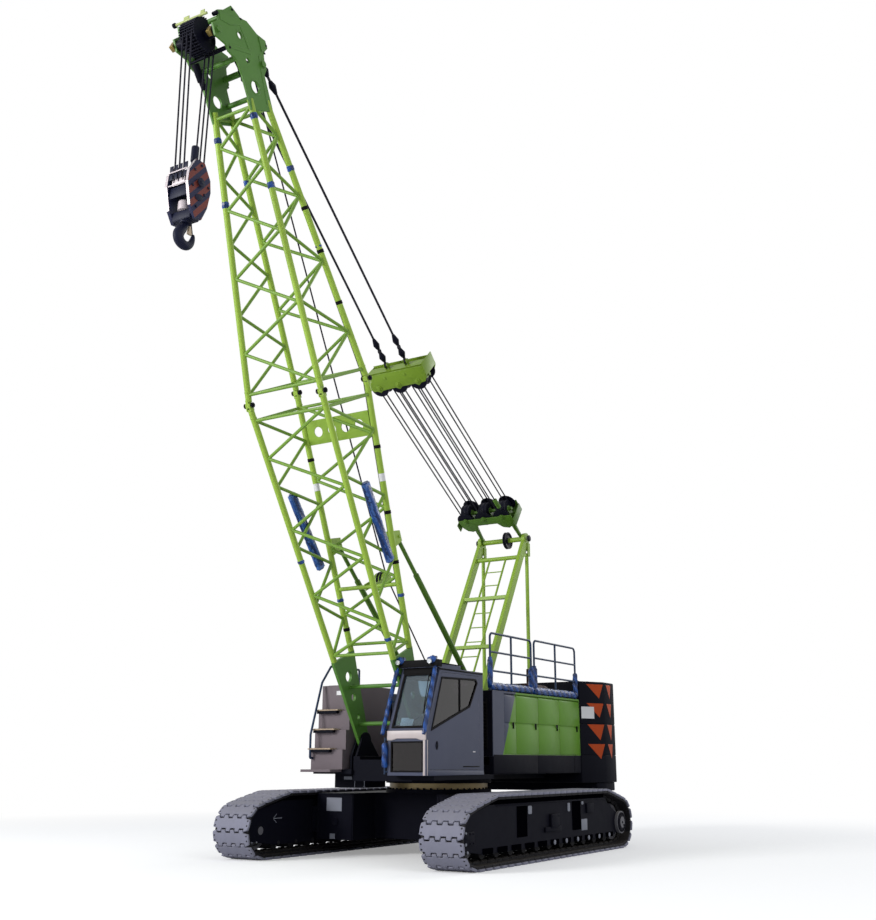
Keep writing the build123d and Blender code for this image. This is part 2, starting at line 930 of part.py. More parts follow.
def outline_prism(points, shrink, x0, x1, mode):
    """A plate with the outline of points drawn in by shrink, between x0 and x1."""
    with BuildSketch(Plane.YZ.offset(x0), mode=Mode.PRIVATE) as outline:
        with BuildLine():
            Polyline(*points, close=True)
        make_face()
        if shrink:
            offset(amount=-shrink, kind=Kind.INTERSECTION)
    extrude(outline.sketch, amount=x1 - x0, mode=mode)


front_glass = (cab_inner + 70, cab_outer - 60)
cab_hinge = (cab_outer - hinge_inset, cab_rear - 150 - door_gap / 2 - hinge_setback)
with BuildPart() as cab_shell:
    outline_prism(cab_profile, 0, cab_inner, cab_outer, Mode.ADD)
    outline_prism(cab_profile, cab_wall, cab_inner + cab_wall, cab_outer - cab_wall, Mode.SUBTRACT)
    side_plate_of(screen_band(60, screen_length, 30, 90), front_glass[0], front_glass[1], Mode.SUBTRACT)
    block(front_glass[0], front_glass[1], cab_front - 10, cab_front + cab_wall + 10, cab_base + 60, cab_brow - 170, Mode.SUBTRACT)
    outline_prism(door_outline, 0, cab_outer - cab_wall - 10, cab_outer + 10, Mode.SUBTRACT)
    outline_prism(window_outline, 0, cab_inner - 10, cab_inner + cab_wall + 10, Mode.SUBTRACT)
    block(front_glass[0], front_glass[1], cab_rear - cab_wall - 10, cab_rear + 10, rear_window_base, cab_roof - 150, Mode.SUBTRACT)
    pivot_pins(cab_hinge, cab_base + 90, cab_roof - 80)
    # Visor round the roof's front edge
    block(cab_inner, cab_outer, cab_roof_front - 60, cab_roof_front + 700, cab_roof, cab_roof + 60)
cab_shell.part.label = "cab_shell"
export_step(cab_shell.part, "parts/cab_shell.step")

with BuildPart() as cab_glazing:
    x0, x1 = front_glass[0] + fit_gap, front_glass[1] - fit_gap
    side_plate_of(screen_band(60 + fit_gap, screen_length - fit_gap, -10, 10 + glass_thick), x0, x1)
    block(x0, x1, cab_front + 10, cab_front + 10 + glass_thick, cab_base + 60 + fit_gap, cab_brow - 170 - fit_gap)
    outline_prism(window_outline, fit_gap, cab_inner + 10, cab_inner + 10 + glass_thick, Mode.ADD)
    block(x0, x1, cab_rear - 10 - glass_thick, cab_rear - 10, rear_window_base + fit_gap, cab_roof - 150 - fit_gap)
cab_glazing.part.label = "cab_glazing"
export_step(cab_glazing.part, "parts/cab_glazing.step")

with BuildPart() as cab_door:
    outline_prism(door_outline, door_gap / 2, cab_outer - cab_wall, cab_outer, Mode.ADD)
    outline_prism(window_outline, 0, cab_outer - cab_wall - 10, cab_outer + 10, Mode.SUBTRACT)
    block(
        cab_outer,
        cab_outer + latch_thick,
        cab_front + latch_place,
        cab_front + latch_place + latch_width,
        cab_brow - latch_drop - latch_length,
        cab_brow - latch_drop,
    )
    pivot_holes(cab_hinge, cab_base + 90 + door_gap / 2, cab_roof - 80 - door_gap / 2)
cab_door.part.label = "cab_door"
export_step(cab_door.part, "parts/cab_door.step")

with BuildPart() as cab_door_glass:
    outline_prism(window_outline, fit_gap, cab_outer - 10 - glass_thick, cab_outer - 10, Mode.ADD)
cab_door_glass.part.label = "cab_door_glass"
export_step(cab_door_glass.part, "parts/cab_door_glass.step")

seat_x = (cab_inner + cab_outer) / 2
floor = cab_base + cab_wall + fit_gap
with BuildPart() as operator_seat:
    block(seat_x - 120, seat_x + 120, seat_y - 120, seat_y + 120, floor, floor + 320)
    block(seat_x - 220, seat_x + 220, seat_y - 260, seat_y + 240, floor + 320, floor + 440)
    side_plate_of(
        (
            (seat_y + 150, floor + 440),
            (seat_y + 240, floor + 440),
            (seat_y + 330, floor + 1150),
            (seat_y + 240, floor + 1150),
        ),
        seat_x - 210,
        seat_x + 210,
    )
operator_seat.part.label = "operator_seat"
export_step(operator_seat.part, "parts/operator_seat.step")

with BuildPart() as cab_console:
    block(cab_inner + cab_wall + 40, cab_outer - cab_wall - 40, cab_front + 130, cab_front + 300, floor, floor + 330)
    side_plate_of(
        (
            (cab_front + 180, floor + 330),
            (cab_front + 260, floor + 330),
            (cab_front + 340, floor + 640),
            (cab_front + 220, floor + 640),
        ),
        seat_x - 150,
        seat_x + 150,
    )
cab_console.part.label = "cab_console"
export_step(cab_console.part, "parts/cab_console.step")

# ---------------------------------------------------------------- handrails
rail_table = (
    # front, rear, height of the top rail above the housing's roof
    (-540, 1170, 1060),
    (1310, 3280, 1080),
)
rail_x = upper_half_width - 40


def bent_rail(points, bend):
    """A round rail through points, its corners bent to a radius."""
    with BuildLine(mode=Mode.PRIVATE) as route:
        FilletPolyline(*points, radius=bend)
    path = route.wires()[0]
    with BuildSketch(Plane(origin=path @ 0, z_dir=path % 0), mode=Mode.PRIVATE) as section:
        Circle(rail_radius)
    sweep(section.sketch, path=path)


with BuildPart() as handrails:
    for front, rear, height in rail_table:
        top = housing_top + height
        base = housing_top + fit_gap
        bent_rail(((rail_x, front, base), (rail_x, front, top), (rail_x, rear, top), (rail_x, rear, base)), rail_bend)
        rod((rail_x, (front + rear) / 2, base), (rail_x, (front + rear) / 2, top), rail_radius)
        for level in (top - 350, top - 700, housing_top + 110):
            rod((rail_x, front, level), (rail_x, rear, level), rail_radius * 0.9)
    # Rail up the front of the step tank and along its top
    tank_rail_x = -upper_half_width + 35
    tank_foot = tank_front_top - tank_steps * tank_tread
    bent_rail(
        (
            (tank_rail_x, tank_foot - fit_gap, tank_base + 200),
            (tank_rail_x, tank_foot - 80, tank_base + 200),
            (tank_rail_x, tank_foot - 80, tank_base + 620),
            (tank_rail_x, tank_front_top - 70, tank_top + 60),
            (tank_rail_x, tank_front_top + 200, tank_top + 380),
            (tank_rail_x, housing_front - 120, tank_top + 380),
            (tank_rail_x, housing_front - 120, tank_top + fit_gap),
        ),
        30,
    )
handrails.part.label = "handrails"
export_step(handrails.part, "parts/handrails.step")

# ---------------------------------------------------------------- winches
drum_table = (
    # label, place along the frame, height
    ("main_drum", main_drum_y, main_drum_z),
    ("luff_drum", luff_drum_y, luff_drum_z),
)
with BuildPart() as winch_frames:
    deck = beam_base + deck_plate + fit_gap
    for label, place, height in drum_table:
        for side in (-1, 1):
            x0 = side * (drum_half + 10)
            x1 = side * (drum_half + 50)
            outline = (
                (place - 330, deck),
                (place + 330, deck),
                (place + 120, height + 110),
                (place - 120, height + 110),
            )
            side_plate_of(outline, min(x0, x1), max(x0, x1))
            disc(place, height, drum_shaft_radius + 0.1, min(x0, x1), max(x0, x1), mode=Mode.SUBTRACT)
winch_frames.part.label = "winch_frames"
export_step(winch_frames.part, "parts/winch_frames.step")

for label, place, height in drum_table:
    with BuildPart() as drum:
        disc(place, height, drum_radius, -drum_half, drum_half)
        disc(place, height, drum_flange_radius, -drum_half, -drum_half + 35)
        disc(place, height, drum_flange_radius, drum_half - 35, drum_half)
        disc(place, height, drum_shaft_radius, -drum_half - 50, drum_half + 50)
    drum.part.label = label
    export_step(drum.part, f"parts/{label}.step")

# ---------------------------------------------------------------- gantry
foot = Vector(0, gantry_foot_y, gantry_foot_z)
head = Vector(0, gantry_top_y, gantry_top_z)
leg_dir = (head - foot).normalized()


def leg_point(height, x):
    """A point on the front legs' plane at a height above the ground."""
    return foot + leg_dir * ((height - gantry_foot_z) / leg_dir.Z) + Vector(x, 0, 0)


with BuildPart() as gantry_front:
    for side in (-1, 1):
        centre = side * gantry_half
        edge = centre - front_leg_width / 2
        bar(foot + Vector(centre, 0, 0), head + Vector(centre, 0, 0), front_leg_width, front_leg_depth)
        disc(gantry_foot_y, gantry_foot_z, gantry_eye_radius, edge, edge + front_leg_width)
        disc(gantry_top_y, gantry_top_z, gantry_eye_radius + 30, edge, edge + front_leg_width)
        side_plate_of(
            (
                (gantry_top_y - 40, gantry_top_z),
                (gantry_top_y + 120, gantry_top_z),
                (gantry_rear_y + 70, gantry_top_z - 260),
                (gantry_rear_y - 70, gantry_top_z - 260),
            ),
            edge,
            edge + front_leg_width,
        )
        disc(gantry_foot_y, gantry_foot_z, gantry_pin_radius + pin_gap, edge, edge + front_leg_width, mode=Mode.SUBTRACT)
    inner = gantry_half - front_leg_width / 2
    rod((-inner, gantry_top_y, gantry_top_z), (inner, gantry_top_y, gantry_top_z), 55)
    rod(leg_point(ladder_top, -inner), leg_point(ladder_top, inner), 45)
    for height in gantry_cross_heights:
        middle = leg_point(height, 0)
        block(-inner, inner, middle.Y - 85, middle.Y + 85, height - 35, height + 35)
    for x in (-ladder_half, ladder_half):
        rod(leg_point(ladder_top, x), leg_point(ladder_foot, x), 22)
    for number in range(ladder_rungs):
        height = ladder_foot + (number + 1) * (ladder_top - ladder_foot) / (ladder_rungs + 1)
        rod(leg_point(height, -ladder_half), leg_point(height, ladder_half), 12)
gantry_front.part.label = "gantry_front"
export_step(gantry_front.part, "parts/gantry_front.step")

with BuildPart() as gantry_rear:
    for side in (-1, 1):
        centre = side * gantry_half
        low = Vector(centre, gantry_rear_y, gantry_rear_z)
        high = Vector(centre, gantry_rear_y, gantry_top_z - 260 - 70)
        rod(low, high, rear_leg_radius)
        disc(gantry_rear_y, gantry_rear_z, 80, centre - 40, centre + 40)
        for face in (-1, 1):
            x0 = centre + face * (front_leg_width / 2 + 2)
            x1 = x0 + face * 18
            block(min(x0, x1), max(x0, x1), gantry_rear_y - 55, gantry_rear_y + 55, high.Z - 60, high.Z + 230)
        block(centre - 60, centre + 60, gantry_rear_y - 55, gantry_rear_y + 55, high.Z - 60, high.Z)
        disc(gantry_rear_y, gantry_rear_z, gantry_pin_radius + pin_gap, centre - 40, centre + 40, mode=Mode.SUBTRACT)
gantry_rear.part.label = "gantry_rear"
export_step(gantry_rear.part, "parts/gantry_rear.step")

# ---------------------------------------------------------------- boom
def section_size(t):
    """Half width and half depth of the boom between its chords' centre lines, at t along it."""
    if t <= section_length:
        share = (t - base_start) / (section_length - base_start)
        ends = (base_half_width, joint_half_width), (base_half_depth, joint_half_depth)
    else:
        share = (t - section_length) / (head_start - section_length)
        ends = (joint_half_width, head_half_width), (joint_half_depth, head_half_depth)
    return [low + (high - low) * share for low, high in ends]


def corner(t, below, left, draw_in=(0, 0)):
    """A point on the chord that is below (or above) and left (or right) of the centre line."""
    half_width, half_depth = section_size(t)
    return boom_point(t, below * (half_depth - draw_in[1]), left * (half_width - draw_in[0]))


def bar_solid(start, end, radius):
    axis = end - start
    return Solid.make_cylinder(radius, axis.length, Plane(origin=start, z_dir=axis))


def spaced(first, last, bays, ratio):
    """Positions of a lattice's nodes, each bay shorter than the one before by ratio."""
    unit = (last - first) * (1 - ratio) / (1 - ratio**bays)
    return [first + unit * (1 - ratio**number) / (1 - ratio) for number in range(bays + 1)]


chord_corners = ((1, 1), (1, -1), (-1, 1), (-1, -1))  # below or above, left or right
face_table = (
    # name, the two chords it joins, first chord the zigzag starts from
    ("under", (1, 1), (1, -1)),
    ("upper", (-1, -1), (-1, 1)),
    ("left", (1, 1), (-1, 1)),
    ("right", (1, -1), (-1, -1)),
)


def lattice(bays_wide, bays_side, first, last, ratio):
    """Zigzag bracing and end tubes on all four faces, coped to the chords."""
    tubes = []
    for name, one, other in face_table:
        wide = name in ("under", "upper")
        draw_in = (brace_draw_in, 0) if wide else (0, brace_draw_in)
        nodes = spaced(first, last, bays_wide if wide else bays_side, ratio)
        ends = [corner(t, *(one, other)[number % 2], draw_in) for number, t in enumerate(nodes)]
        tubes += [bar_solid(a, b, brace_radius) for a, b in zip(ends, ends[1:])]
        for t in (nodes[0], nodes[-1]):
            tubes.append(bar_solid(corner(t, *one, draw_in), corner(t, *other, draw_in), brace_radius))
    return tubes


base_chord_lines = [(corner(base_start - 60, *c), corner(section_length - joint_gap, *c)) for c in chord_corners]
head_chord_lines = [(corner(section_length + joint_gap, *c), corner(head_start + 120, *c)) for c in chord_corners]

# Chords of the foot section, with a fork at the top of each
with BuildPart() as boom_base_chords:
    add([bar_solid(a, b, chord_radius) for a, b in base_chord_lines])
    for below, left in chord_corners:
        half_width, half_depth = section_size(section_length)
        for face in (-1, 1):
            with BuildSketch(boom_plane.offset(left * half_width + face * fork_spread - fork_plate / 2), mode=Mode.PRIVATE) as ear:
                with Locations((section_length - joint_gap / 2, below * half_depth)):
                    Rectangle(fork_length, 2 * chord_radius - 10)
                with Locations((section_length, below * half_depth)):
                    Circle(section_pin_radius + pin_gap, mode=Mode.SUBTRACT)
            extrude(ear.sketch, amount=fork_plate)
boom_base_chords.part.label = "boom_base_chords"
export_step(boom_base_chords.part, "parts/boom_base_chords.step")

with BuildPart() as boom_base_bracing:
    add(lattice(7, 8, section_length - 280, base_start + 60, 0.97))
    add([bar_solid(a, b, chord_radius) for a, b in base_chord_lines], mode=Mode.SUBTRACT)
boom_base_bracing.part.label = "boom_base_bracing"
export_step(boom_base_bracing.part, "parts/boom_base_bracing.step")

# Foot plates: each carries two chords and ends in the eye of the foot pin
with BuildPart() as boom_foot_plates:
    for left in (-1, 1):
        half_depth = section_size(base_start)[1]
        reach = half_depth + chord_radius
        with BuildSketch(boom_plane.offset(left * foot_plate_half - foot_plate_thick / 2), mode=Mode.PRIVATE) as plate:
            with BuildLine():
                Polyline(
                    (0, foot_eye_radius),
                    (base_start - 500, reach - 60),
                    (base_start - 60, reach),
                    (base_start - 60, -reach),
                    (base_start - 500, -reach + 60),
                    (0, -foot_eye_radius),
                    close=True,
                )
            make_face()
            Circle(foot_eye_radius)
            Circle(foot_pin_radius + pin_gap, mode=Mode.SUBTRACT)
            for place, radius in foot_holes:
                with Locations((place, 0)):
                    Circle(radius, mode=Mode.SUBTRACT)
        extrude(plate.sketch, amount=foot_plate_thick)
    add([bar_solid(a, b, chord_radius) for a, b in base_chord_lines], mode=Mode.SUBTRACT)
    inner = foot_plate_half - foot_plate_thick / 2
    for t, n in foot_tubes:
        add(bar_solid(boom_point(t, n, -inner), boom_point(t, n, inner), foot_tube_radius))
boom_foot_plates.part.label = "boom_foot_plates"
export_step(boom_foot_plates.part, "parts/boom_foot_plates.step")

# Chords of the head section, with a tongue at the foot of each, and the pins of the section joint
with BuildPart() as boom_head_chords:
    add([bar_solid(a, b, chord_radius) for a, b in head_chord_lines])
    for below, left in chord_corners:
        half_width, half_depth = section_size(section_length)
        width = 2 * fork_spread - fork_plate - 1
        with BuildSketch(boom_plane.offset(left * half_width - width / 2), mode=Mode.PRIVATE) as tongue:
            with Locations((section_length + joint_gap / 2, below * half_depth)):
                Rectangle(fork_length, 2 * chord_radius - 10)
            with Locations((section_length, below * half_depth)):
                Circle(section_pin_radius + pin_gap, mode=Mode.SUBTRACT)
        extrude(tongue.sketch, amount=width)
boom_head_chords.part.label = "boom_head_chords"
export_step(boom_head_chords.part, "parts/boom_head_chords.step")

with BuildPart() as boom_head_bracing:
    add(lattice(8, 8, section_length + 180, head_start, 0.95))
    add([bar_solid(a, b, chord_radius) for a, b in head_chord_lines], mode=Mode.SUBTRACT)
boom_head_bracing.part.label = "boom_head_bracing"
export_step(boom_head_bracing.part, "parts/boom_head_bracing.step")

with BuildPart() as section_pins:
    half_width, half_depth = section_size(section_length)
    reach = fork_spread + fork_plate / 2 + 14
    for below, left in chord_corners:
        start = boom_point(section_length, below * half_depth, left * half_width - reach)
        end = boom_point(section_length, below * half_depth, left * half_width + reach)
        add(bar_solid(start, end, section_pin_radius))
section_pins.part.label = "section_pins"
export_step(section_pins.part, "parts/section_pins.step")

# Head plates: one each side, tied by tubes and a web, with the eyes of the sheave axles and the pendants
head_inner = head_plate_half - head_plate_thick / 2
with BuildPart() as boom_head_plates:
    for left in (-1, 1):
        with BuildSketch(boom_plane.offset(left * head_plate_half - head_plate_thick / 2), mode=Mode.PRIVATE) as plate:
            with BuildLine():
                Polyline(*head_outline, close=True)
            make_face()
            for t, n, radius in head_holes:
                with Locations((t, n)):
                    Circle(radius, mode=Mode.SUBTRACT)
        extrude(plate.sketch, amount=head_plate_thick)
    for t, n, radius in head_ties:
        add(bar_solid(boom_point(t, n, -head_inner), boom_point(t, n, head_inner), radius))
    for t, n in ((head_axle_t, head_axle_n), (idler_axle_t, idler_axle_n)):
        add(bar_solid(boom_point(t, n, -head_inner - head_plate_thick - 40), boom_point(t, n, head_inner + head_plate_thick + 40), head_axle_radius))
    add(
        bar_solid(
            boom_point(pendant_t, pendant_n, -head_inner - head_plate_thick),
            boom_point(pendant_t, pendant_n, head_inner + head_plate_thick),
            pendant_pin_radius,
        )
    )
    add([bar_solid(a, b, chord_radius) for a, b in head_chord_lines], mode=Mode.SUBTRACT)
    add(boom_head_bracing.part, mode=Mode.SUBTRACT)
boom_head_plates.part.label = "boom_head_plates"
export_step(boom_head_plates.part, "parts/boom_head_plates.step")


def grooved_sheave(t, n, x, radius, axle):
    """A rope sheave on the boom, with its groove, turning on an axle along X."""
    rim = sheave_width / 2
    with BuildSketch(boom_plane.offset(x - rim), mode=Mode.PRIVATE) as ring:
        with Locations((t, n)):
            Circle(radius + rope_radius)
            Circle(axle + pin_gap, mode=Mode.SUBTRACT)
    extrude(ring.sketch, amount=2 * rim)
    with BuildSketch(boom_plane.offset(x - groove_width / 2), mode=Mode.PRIVATE) as groove:
        with Locations((t, n)):
            Circle(radius + rope_radius + 1)
            Circle(radius, mode=Mode.SUBTRACT)
    extrude(groove.sketch, amount=groove_width, mode=Mode.SUBTRACT)


with BuildPart() as head_sheaves:
    for x in head_sheave_places:
        grooved_sheave(head_axle_t, head_axle_n, x, head_sheave_radius, head_axle_radius)
    grooved_sheave(idler_axle_t, idler_axle_n, hoist_line_x, idler_sheave_radius, head_axle_radius)
head_sheaves.part.label = "head_sheaves"
export_step(head_sheaves.part, "parts/head_sheaves.step")

# Brackets on the foot section: the plate with four holes, the rope guide and the lugs of the back-stops
with BuildPart() as boom_brackets:
    half_width, half_depth = section_size(tie_plate_start + tie_plate_length / 2)
    face_tilt = degrees(atan2(joint_half_depth - base_half_depth, section_length - base_start))
    middle = boom_point(tie_plate_start + tie_plate_length / 2, -half_depth, 0)
    plate_plane = Plane(origin=middle, x_dir=(1, 0, 0), z_dir=boom_plane.y_dir).rotated((-face_tilt, 0, 0))
    with BuildSketch(plate_plane):
        Rectangle(2 * (half_width - chord_radius) - 2, tie_plate_length)
        with GridLocations(2 * half_width / 5, 1, 4, 1):
            Circle(tie_hole_radius, mode=Mode.SUBTRACT)
    extrude(amount=tie_plate_thick / 2, both=True)
    half_width, half_depth = section_size(guide_t)
    for x in (hoist_line_x - guide_half - 20, hoist_line_x + guide_half):
        with BuildSketch(boom_plane.offset(x), mode=Mode.PRIVATE) as arm:
            with BuildLine():
                Polyline(
                    (guide_t - 60, guide_n - 60),
                    (guide_t + 60, guide_n - 60),
                    (guide_t + 60, -half_depth + 30),
                    (guide_t - 60, -half_depth + 30),
                    close=True,
                )
            make_face()
        extrude(arm.sketch, amount=20)
    add(bar_solid(boom_point(guide_t, -half_depth, -half_width), boom_point(guide_t, -half_depth, half_width), 38))
    x0 = hoist_line_x - guide_half
    add(bar_solid(boom_point(guide_t, guide_n, x0), boom_point(guide_t, guide_n, x0 + 2 * guide_half), guide_radius))
    for side in (-1, 1):
        x0 = side * backstop_half - stop_lug_half
        with BuildSketch(boom_plane.offset(x0), mode=Mode.PRIVATE) as lug:
            with BuildLine():
                Polyline(*stop_lug, close=True)
            make_face()
        extrude(lug.sketch, amount=2 * stop_lug_half)
        x0 = side * backstop_half - stop_slot_half
        with BuildSketch(boom_plane.offset(x0), mode=Mode.PRIVATE) as slot:
            with Locations((backstop_t, stop_slot_floor - stop_lug_half * 2)):
                Rectangle(stop_lug_half * 8, stop_lug_half * 4)
        extrude(slot.sketch, amount=2 * stop_slot_half, mode=Mode.SUBTRACT)
        for face in (-1, 1):
            x0 = side * backstop_half + face * stop_lug_half
            pin_head = boom_point(backstop_t, backstop_n, x0)
            add(bar_solid(pin_head, pin_head + Vector(face * 20, 0, 0), backstop_pin_radius))
    add([bar_solid(a, b, chord_radius + fit_gap) for a, b in base_chord_lines], mode=Mode.SUBTRACT)
    add(boom_base_bracing.part, mode=Mode.SUBTRACT)
boom_brackets.part.label = "boom_brackets"
export_step(boom_brackets.part, "parts/boom_brackets.step")

# Wrapped struts, one flat against each side of the foot section
with BuildPart() as wrapped_struts:
    for left in (-1, 1):
        ends = []
        for t, n in strut_ends:
            half_width = section_size(t)[0]
            ends.append(boom_point(t, n, left * (half_width + brace_radius + 2 * fit_gap + strut_width / 2)))
        axis = ends[1] - ends[0]
        with BuildSketch(Plane(origin=ends[0], x_dir=(1, 0, 0), z_dir=axis), mode=Mode.PRIVATE) as section:
            RectangleRounded(strut_width, strut_depth, strut_width / 3)
        extrude(section.sketch, amount=axis.length)
wrapped_struts.part.label = "wrapped_struts"
export_step(wrapped_struts.part, "parts/wrapped_struts.step")

# Hoist rope from the guide roller to the idler sheave at the head, and the lead from the winch
with BuildPart() as hoist_rope:
    low = boom_point(guide_t, guide_n - guide_radius - rope_radius - fit_gap, hoist_line_x)
    high = boom_point(idler_axle_t, idler_axle_n - idler_sheave_radius - rope_radius - fit_gap, hoist_line_x)
    add(bar_solid(low, high, rope_radius))
hoist_rope.part.label = "hoist_rope"
export_step(hoist_rope.part, "parts/hoist_rope.step")

# ---------------------------------------------------------------- hook block, hung from the head sheaves
head_axle = boom_point(head_axle_t, head_axle_n, 0)
block_y = head_axle.Y
block_axle_z = (block_top + block_bottom) / 2 + 120
with BuildPart() as hook_block:
    for side in (-1, 1):
        x0 = side * block_half
        x1 = side * (block_half - cheek_thick)
        side_plate_of(
            [(block_y + y, block_bottom + z) for y, z in cheek_outline],
            min(x0, x1),
            max(x0, x1),
        )
    disc(block_y, block_axle_z, block_axle_radius, -block_half - 30, block_half + 30)
    block(
        -block_half + cheek_thick,
        block_half - cheek_thick,
        block_y - 90,
        block_y + 90,
        block_bottom + 40,
        block_bottom + 170,
    )
    for y in (-guard_reach, guard_reach):
        rod((-block_half, block_y + y, block_axle_z + 180), (block_half, block_y + y, block_axle_z + 180), 16)
hook_block.part.label = "hook_block"
export_step(hook_block.part, "parts/hook_block.step")

with BuildPart() as block_sheaves:
    for x in block_sheave_places:
        disc(block_y, block_axle_z, block_sheave_radius + rope_radius, x - sheave_width / 2, x + sheave_width / 2)
        with BuildSketch(Plane.YZ.offset(x - groove_width / 2), mode=Mode.PRIVATE) as groove:
            with Locations((block_y, block_axle_z)):
                Circle(block_sheave_radius + rope_radius + 1)
                Circle(block_sheave_radius, mode=Mode.SUBTRACT)
        extrude(groove.sketch, amount=groove_width, mode=Mode.SUBTRACT)
    disc(block_y, block_axle_z, block_axle_radius + pin_gap, -block_half, block_half, mode=Mode.SUBTRACT)
block_sheaves.part.label = "block_sheaves"
export_step(block_sheaves.part, "parts/block_sheaves.step")

# The hook: a shank through the cross-head and a tapering bowl, turned about to open to the rear
with BuildPart() as hook_forging:
    shank_top = block_bottom + 40 - fit_gap
    eye_z = block_bottom - hook_shank - hook_bowl_radius
    rod((0, block_y, shank_top), (0, block_y, eye_z + hook_bowl_radius - 20), hook_shank_radius)
    sections = []
    for angle, radius in hook_stations:
        a = radians(angle)
        centre = Vector(0, block_y + hook_bowl_radius * cos(a), eye_z + hook_bowl_radius * sin(a))
        along = Vector(0, sin(a), -cos(a))
        with BuildSketch(Plane(origin=centre, x_dir=(1, 0, 0), z_dir=along), mode=Mode.PRIVATE) as ring:
            Circle(radius)
        sections.append(ring.sketch)
    loft(sections)
    neck = Vector(0, block_y + hook_bowl_radius * cos(radians(60)), eye_z + hook_bowl_radius * sin(radians(60)))
    rod((0, block_y, eye_z + hook_bowl_radius + 30), neck + Vector(0, 26, -15), hook_shank_radius)
with BuildPart() as hook:
    add(hook_forging.part.rotate(Axis((0, block_y, 0), (0, 0, 1)), 180))
hook.part.label = "hook"
export_step(hook.part, "parts/hook.step")

# Falls of rope between the head sheaves and the block, with the dead end at a side
with BuildPart() as hook_falls:
    top_reach = head_sheave_radius + rope_radius + fit_gap
    low_reach = block_sheave_radius + rope_radius + fit_gap
    for x_top, x_low in zip(head_sheave_places, block_sheave_places):
        for face in (-1, 1):
            rod(
                (x_top, block_y + face * top_reach, head_axle.Z),
                (x_low, block_y + face * low_reach, block_axle_z),
                rope_radius,
            )
hook_falls.part.label = "hook_falls"
export_step(hook_falls.part, "parts/hook_falls.step")

# ---------------------------------------------------------------- pendants, spreaders and luffing ropes
pendant_pin = boom_point(pendant_t, pendant_n, 0)
lower_pin = Vector(0, pendant_pin_y, pendant_pin_z)
upper_axle = Vector(0, upper_axle_y, upper_axle_z)
lower_axle = Vector(0, lower_axle_y, lower_axle_z)
gantry_pin = Vector(0, gantry_top_y, gantry_top_z)


def eye_link(start, end, x, thick, eye, pin):
    """A flat link between two pins, an eye round each."""
    axis = end - start
    plane = Plane(origin=start + Vector(x - thick / 2, 0, 0), x_dir=axis, z_dir=(1, 0, 0))
    with BuildSketch(plane, mode=Mode.PRIVATE) as outline:
        with Locations((axis.length / 2, 0)):
            Rectangle(axis.length, eye)
        Circle(eye)
        with Locations((axis.length, 0)):
            Circle(eye)
        Circle(pin + pin_gap, mode=Mode.SUBTRACT)
        with Locations((axis.length, 0)):
            Circle(pin + pin_gap, mode=Mode.SUBTRACT)
    extrude(outline.sketch, amount=thick)


def spreader(axle, pin, axis, beam_from_axle):
    """A cross beam with cheeks beside three sheave groups on its axle."""
    toward = (pin - axle).normalized()
    across = Vector(0, -toward.Z, toward.Y)
    middle = axle + toward * beam_from_axle
    plane = Plane(origin=middle - Vector(spreader_half, 0, 0), x_dir=toward, z_dir=(1, 0, 0))
    with BuildSketch(plane, mode=Mode.PRIVATE) as beam:
        Rectangle(spreader_beam_depth, spreader_beam_height)
    extrude(beam.sketch, amount=2 * spreader_half)
    reach = (middle - axle).length
    for group in (-1, 0, 1):
        for face in (-1, 1):
            x = group * spreader_group_pitch + face * (spreader_sheave_width / 2 + 8)
            cheek = Plane(origin=axle + Vector(x - 8, 0, 0), x_dir=toward, z_dir=(1, 0, 0))
            with BuildSketch(cheek, mode=Mode.PRIVATE) as plate:
                with Locations((reach / 2, 0)):
                    Rectangle(reach, spreader_cheek)
                Circle(spreader_cheek / 2)
            extrude(plate.sketch, amount=16)
    disc(axle.Y, axle.Z, spreader_axle_radius, -spreader_half + 60, spreader_half - 60)


with BuildPart() as upper_spreader:
    spreader(upper_axle, lower_pin, 1, upper_beam_place)
    for side in (-1, 1):
        for face in (-1, 1):
            x = side * pendant_half + face * (pendant_link + 4)
            eye_link(upper_axle + (lower_pin - upper_axle).normalized() * upper_beam_place, lower_pin, x, 12, 55, pendant_pin_radius)
        disc(lower_pin.Y, lower_pin.Z, pendant_pin_radius, side * pendant_half - 40, side * pendant_half + 40)
upper_spreader.part.label = "upper_spreader"
export_step(upper_spreader.part, "parts/upper_spreader.step")

with BuildPart() as pendants:
    axis = pendant_pin - lower_pin
    unit = axis.normalized()
    for side in (-1, 1):
        x = side * pendant_half
        shift = Vector(x, 0, 0)
        eye_link(lower_pin, lower_pin + unit * 330, x, pendant_link, 50, pendant_pin_radius)
        eye_link(pendant_pin, pendant_pin - unit * 330, x, pendant_link, 50, pendant_pin_radius)
        eye_link(pendant_pin - unit * 330, pendant_pin - unit * 660, x, pendant_link, 40, 18)
        add(bar_solid(lower_pin + unit * 300 + shift, pendant_pin - unit * 630 + shift, pendant_radius))
pendants.part.label = "pendants"
export_step(pendants.part, "parts/pendants.step")

with BuildPart() as lower_spreader:
    spreader(lower_axle, gantry_pin, -1, lower_beam_place)
    middle = lower_axle + (gantry_pin - lower_axle).normalized() * lower_beam_place
    for side in (-1, 1):
        x = side * (gantry_half - front_leg_width / 2 - 16)
        eye_link(middle, gantry_pin, x, 20, 60, 55)
lower_spreader.part.label = "lower_spreader"
export_step(lower_spreader.part, "parts/lower_spreader.step")

# Luffing falls: those on the upper tangents hang from the upper spreader, those on the lower ones from the lower
rope_line = (lower_axle - upper_axle).normalized()
rope_across = Vector(0, rope_line.Z, -rope_line.Y)
if rope_across.Z < 0:
    rope_across = -rope_across
fall_reach = spreader_sheave_radius + rope_radius + fit_gap


def luffing_falls(level):
    for group in (-1, 0, 1):
        for step in fall_steps:
            shift = Vector(group * spreader_group_pitch + step, 0, 0) + rope_across * (level * fall_reach)
            add(bar_solid(upper_axle + shift, lower_axle + shift, rope_radius))


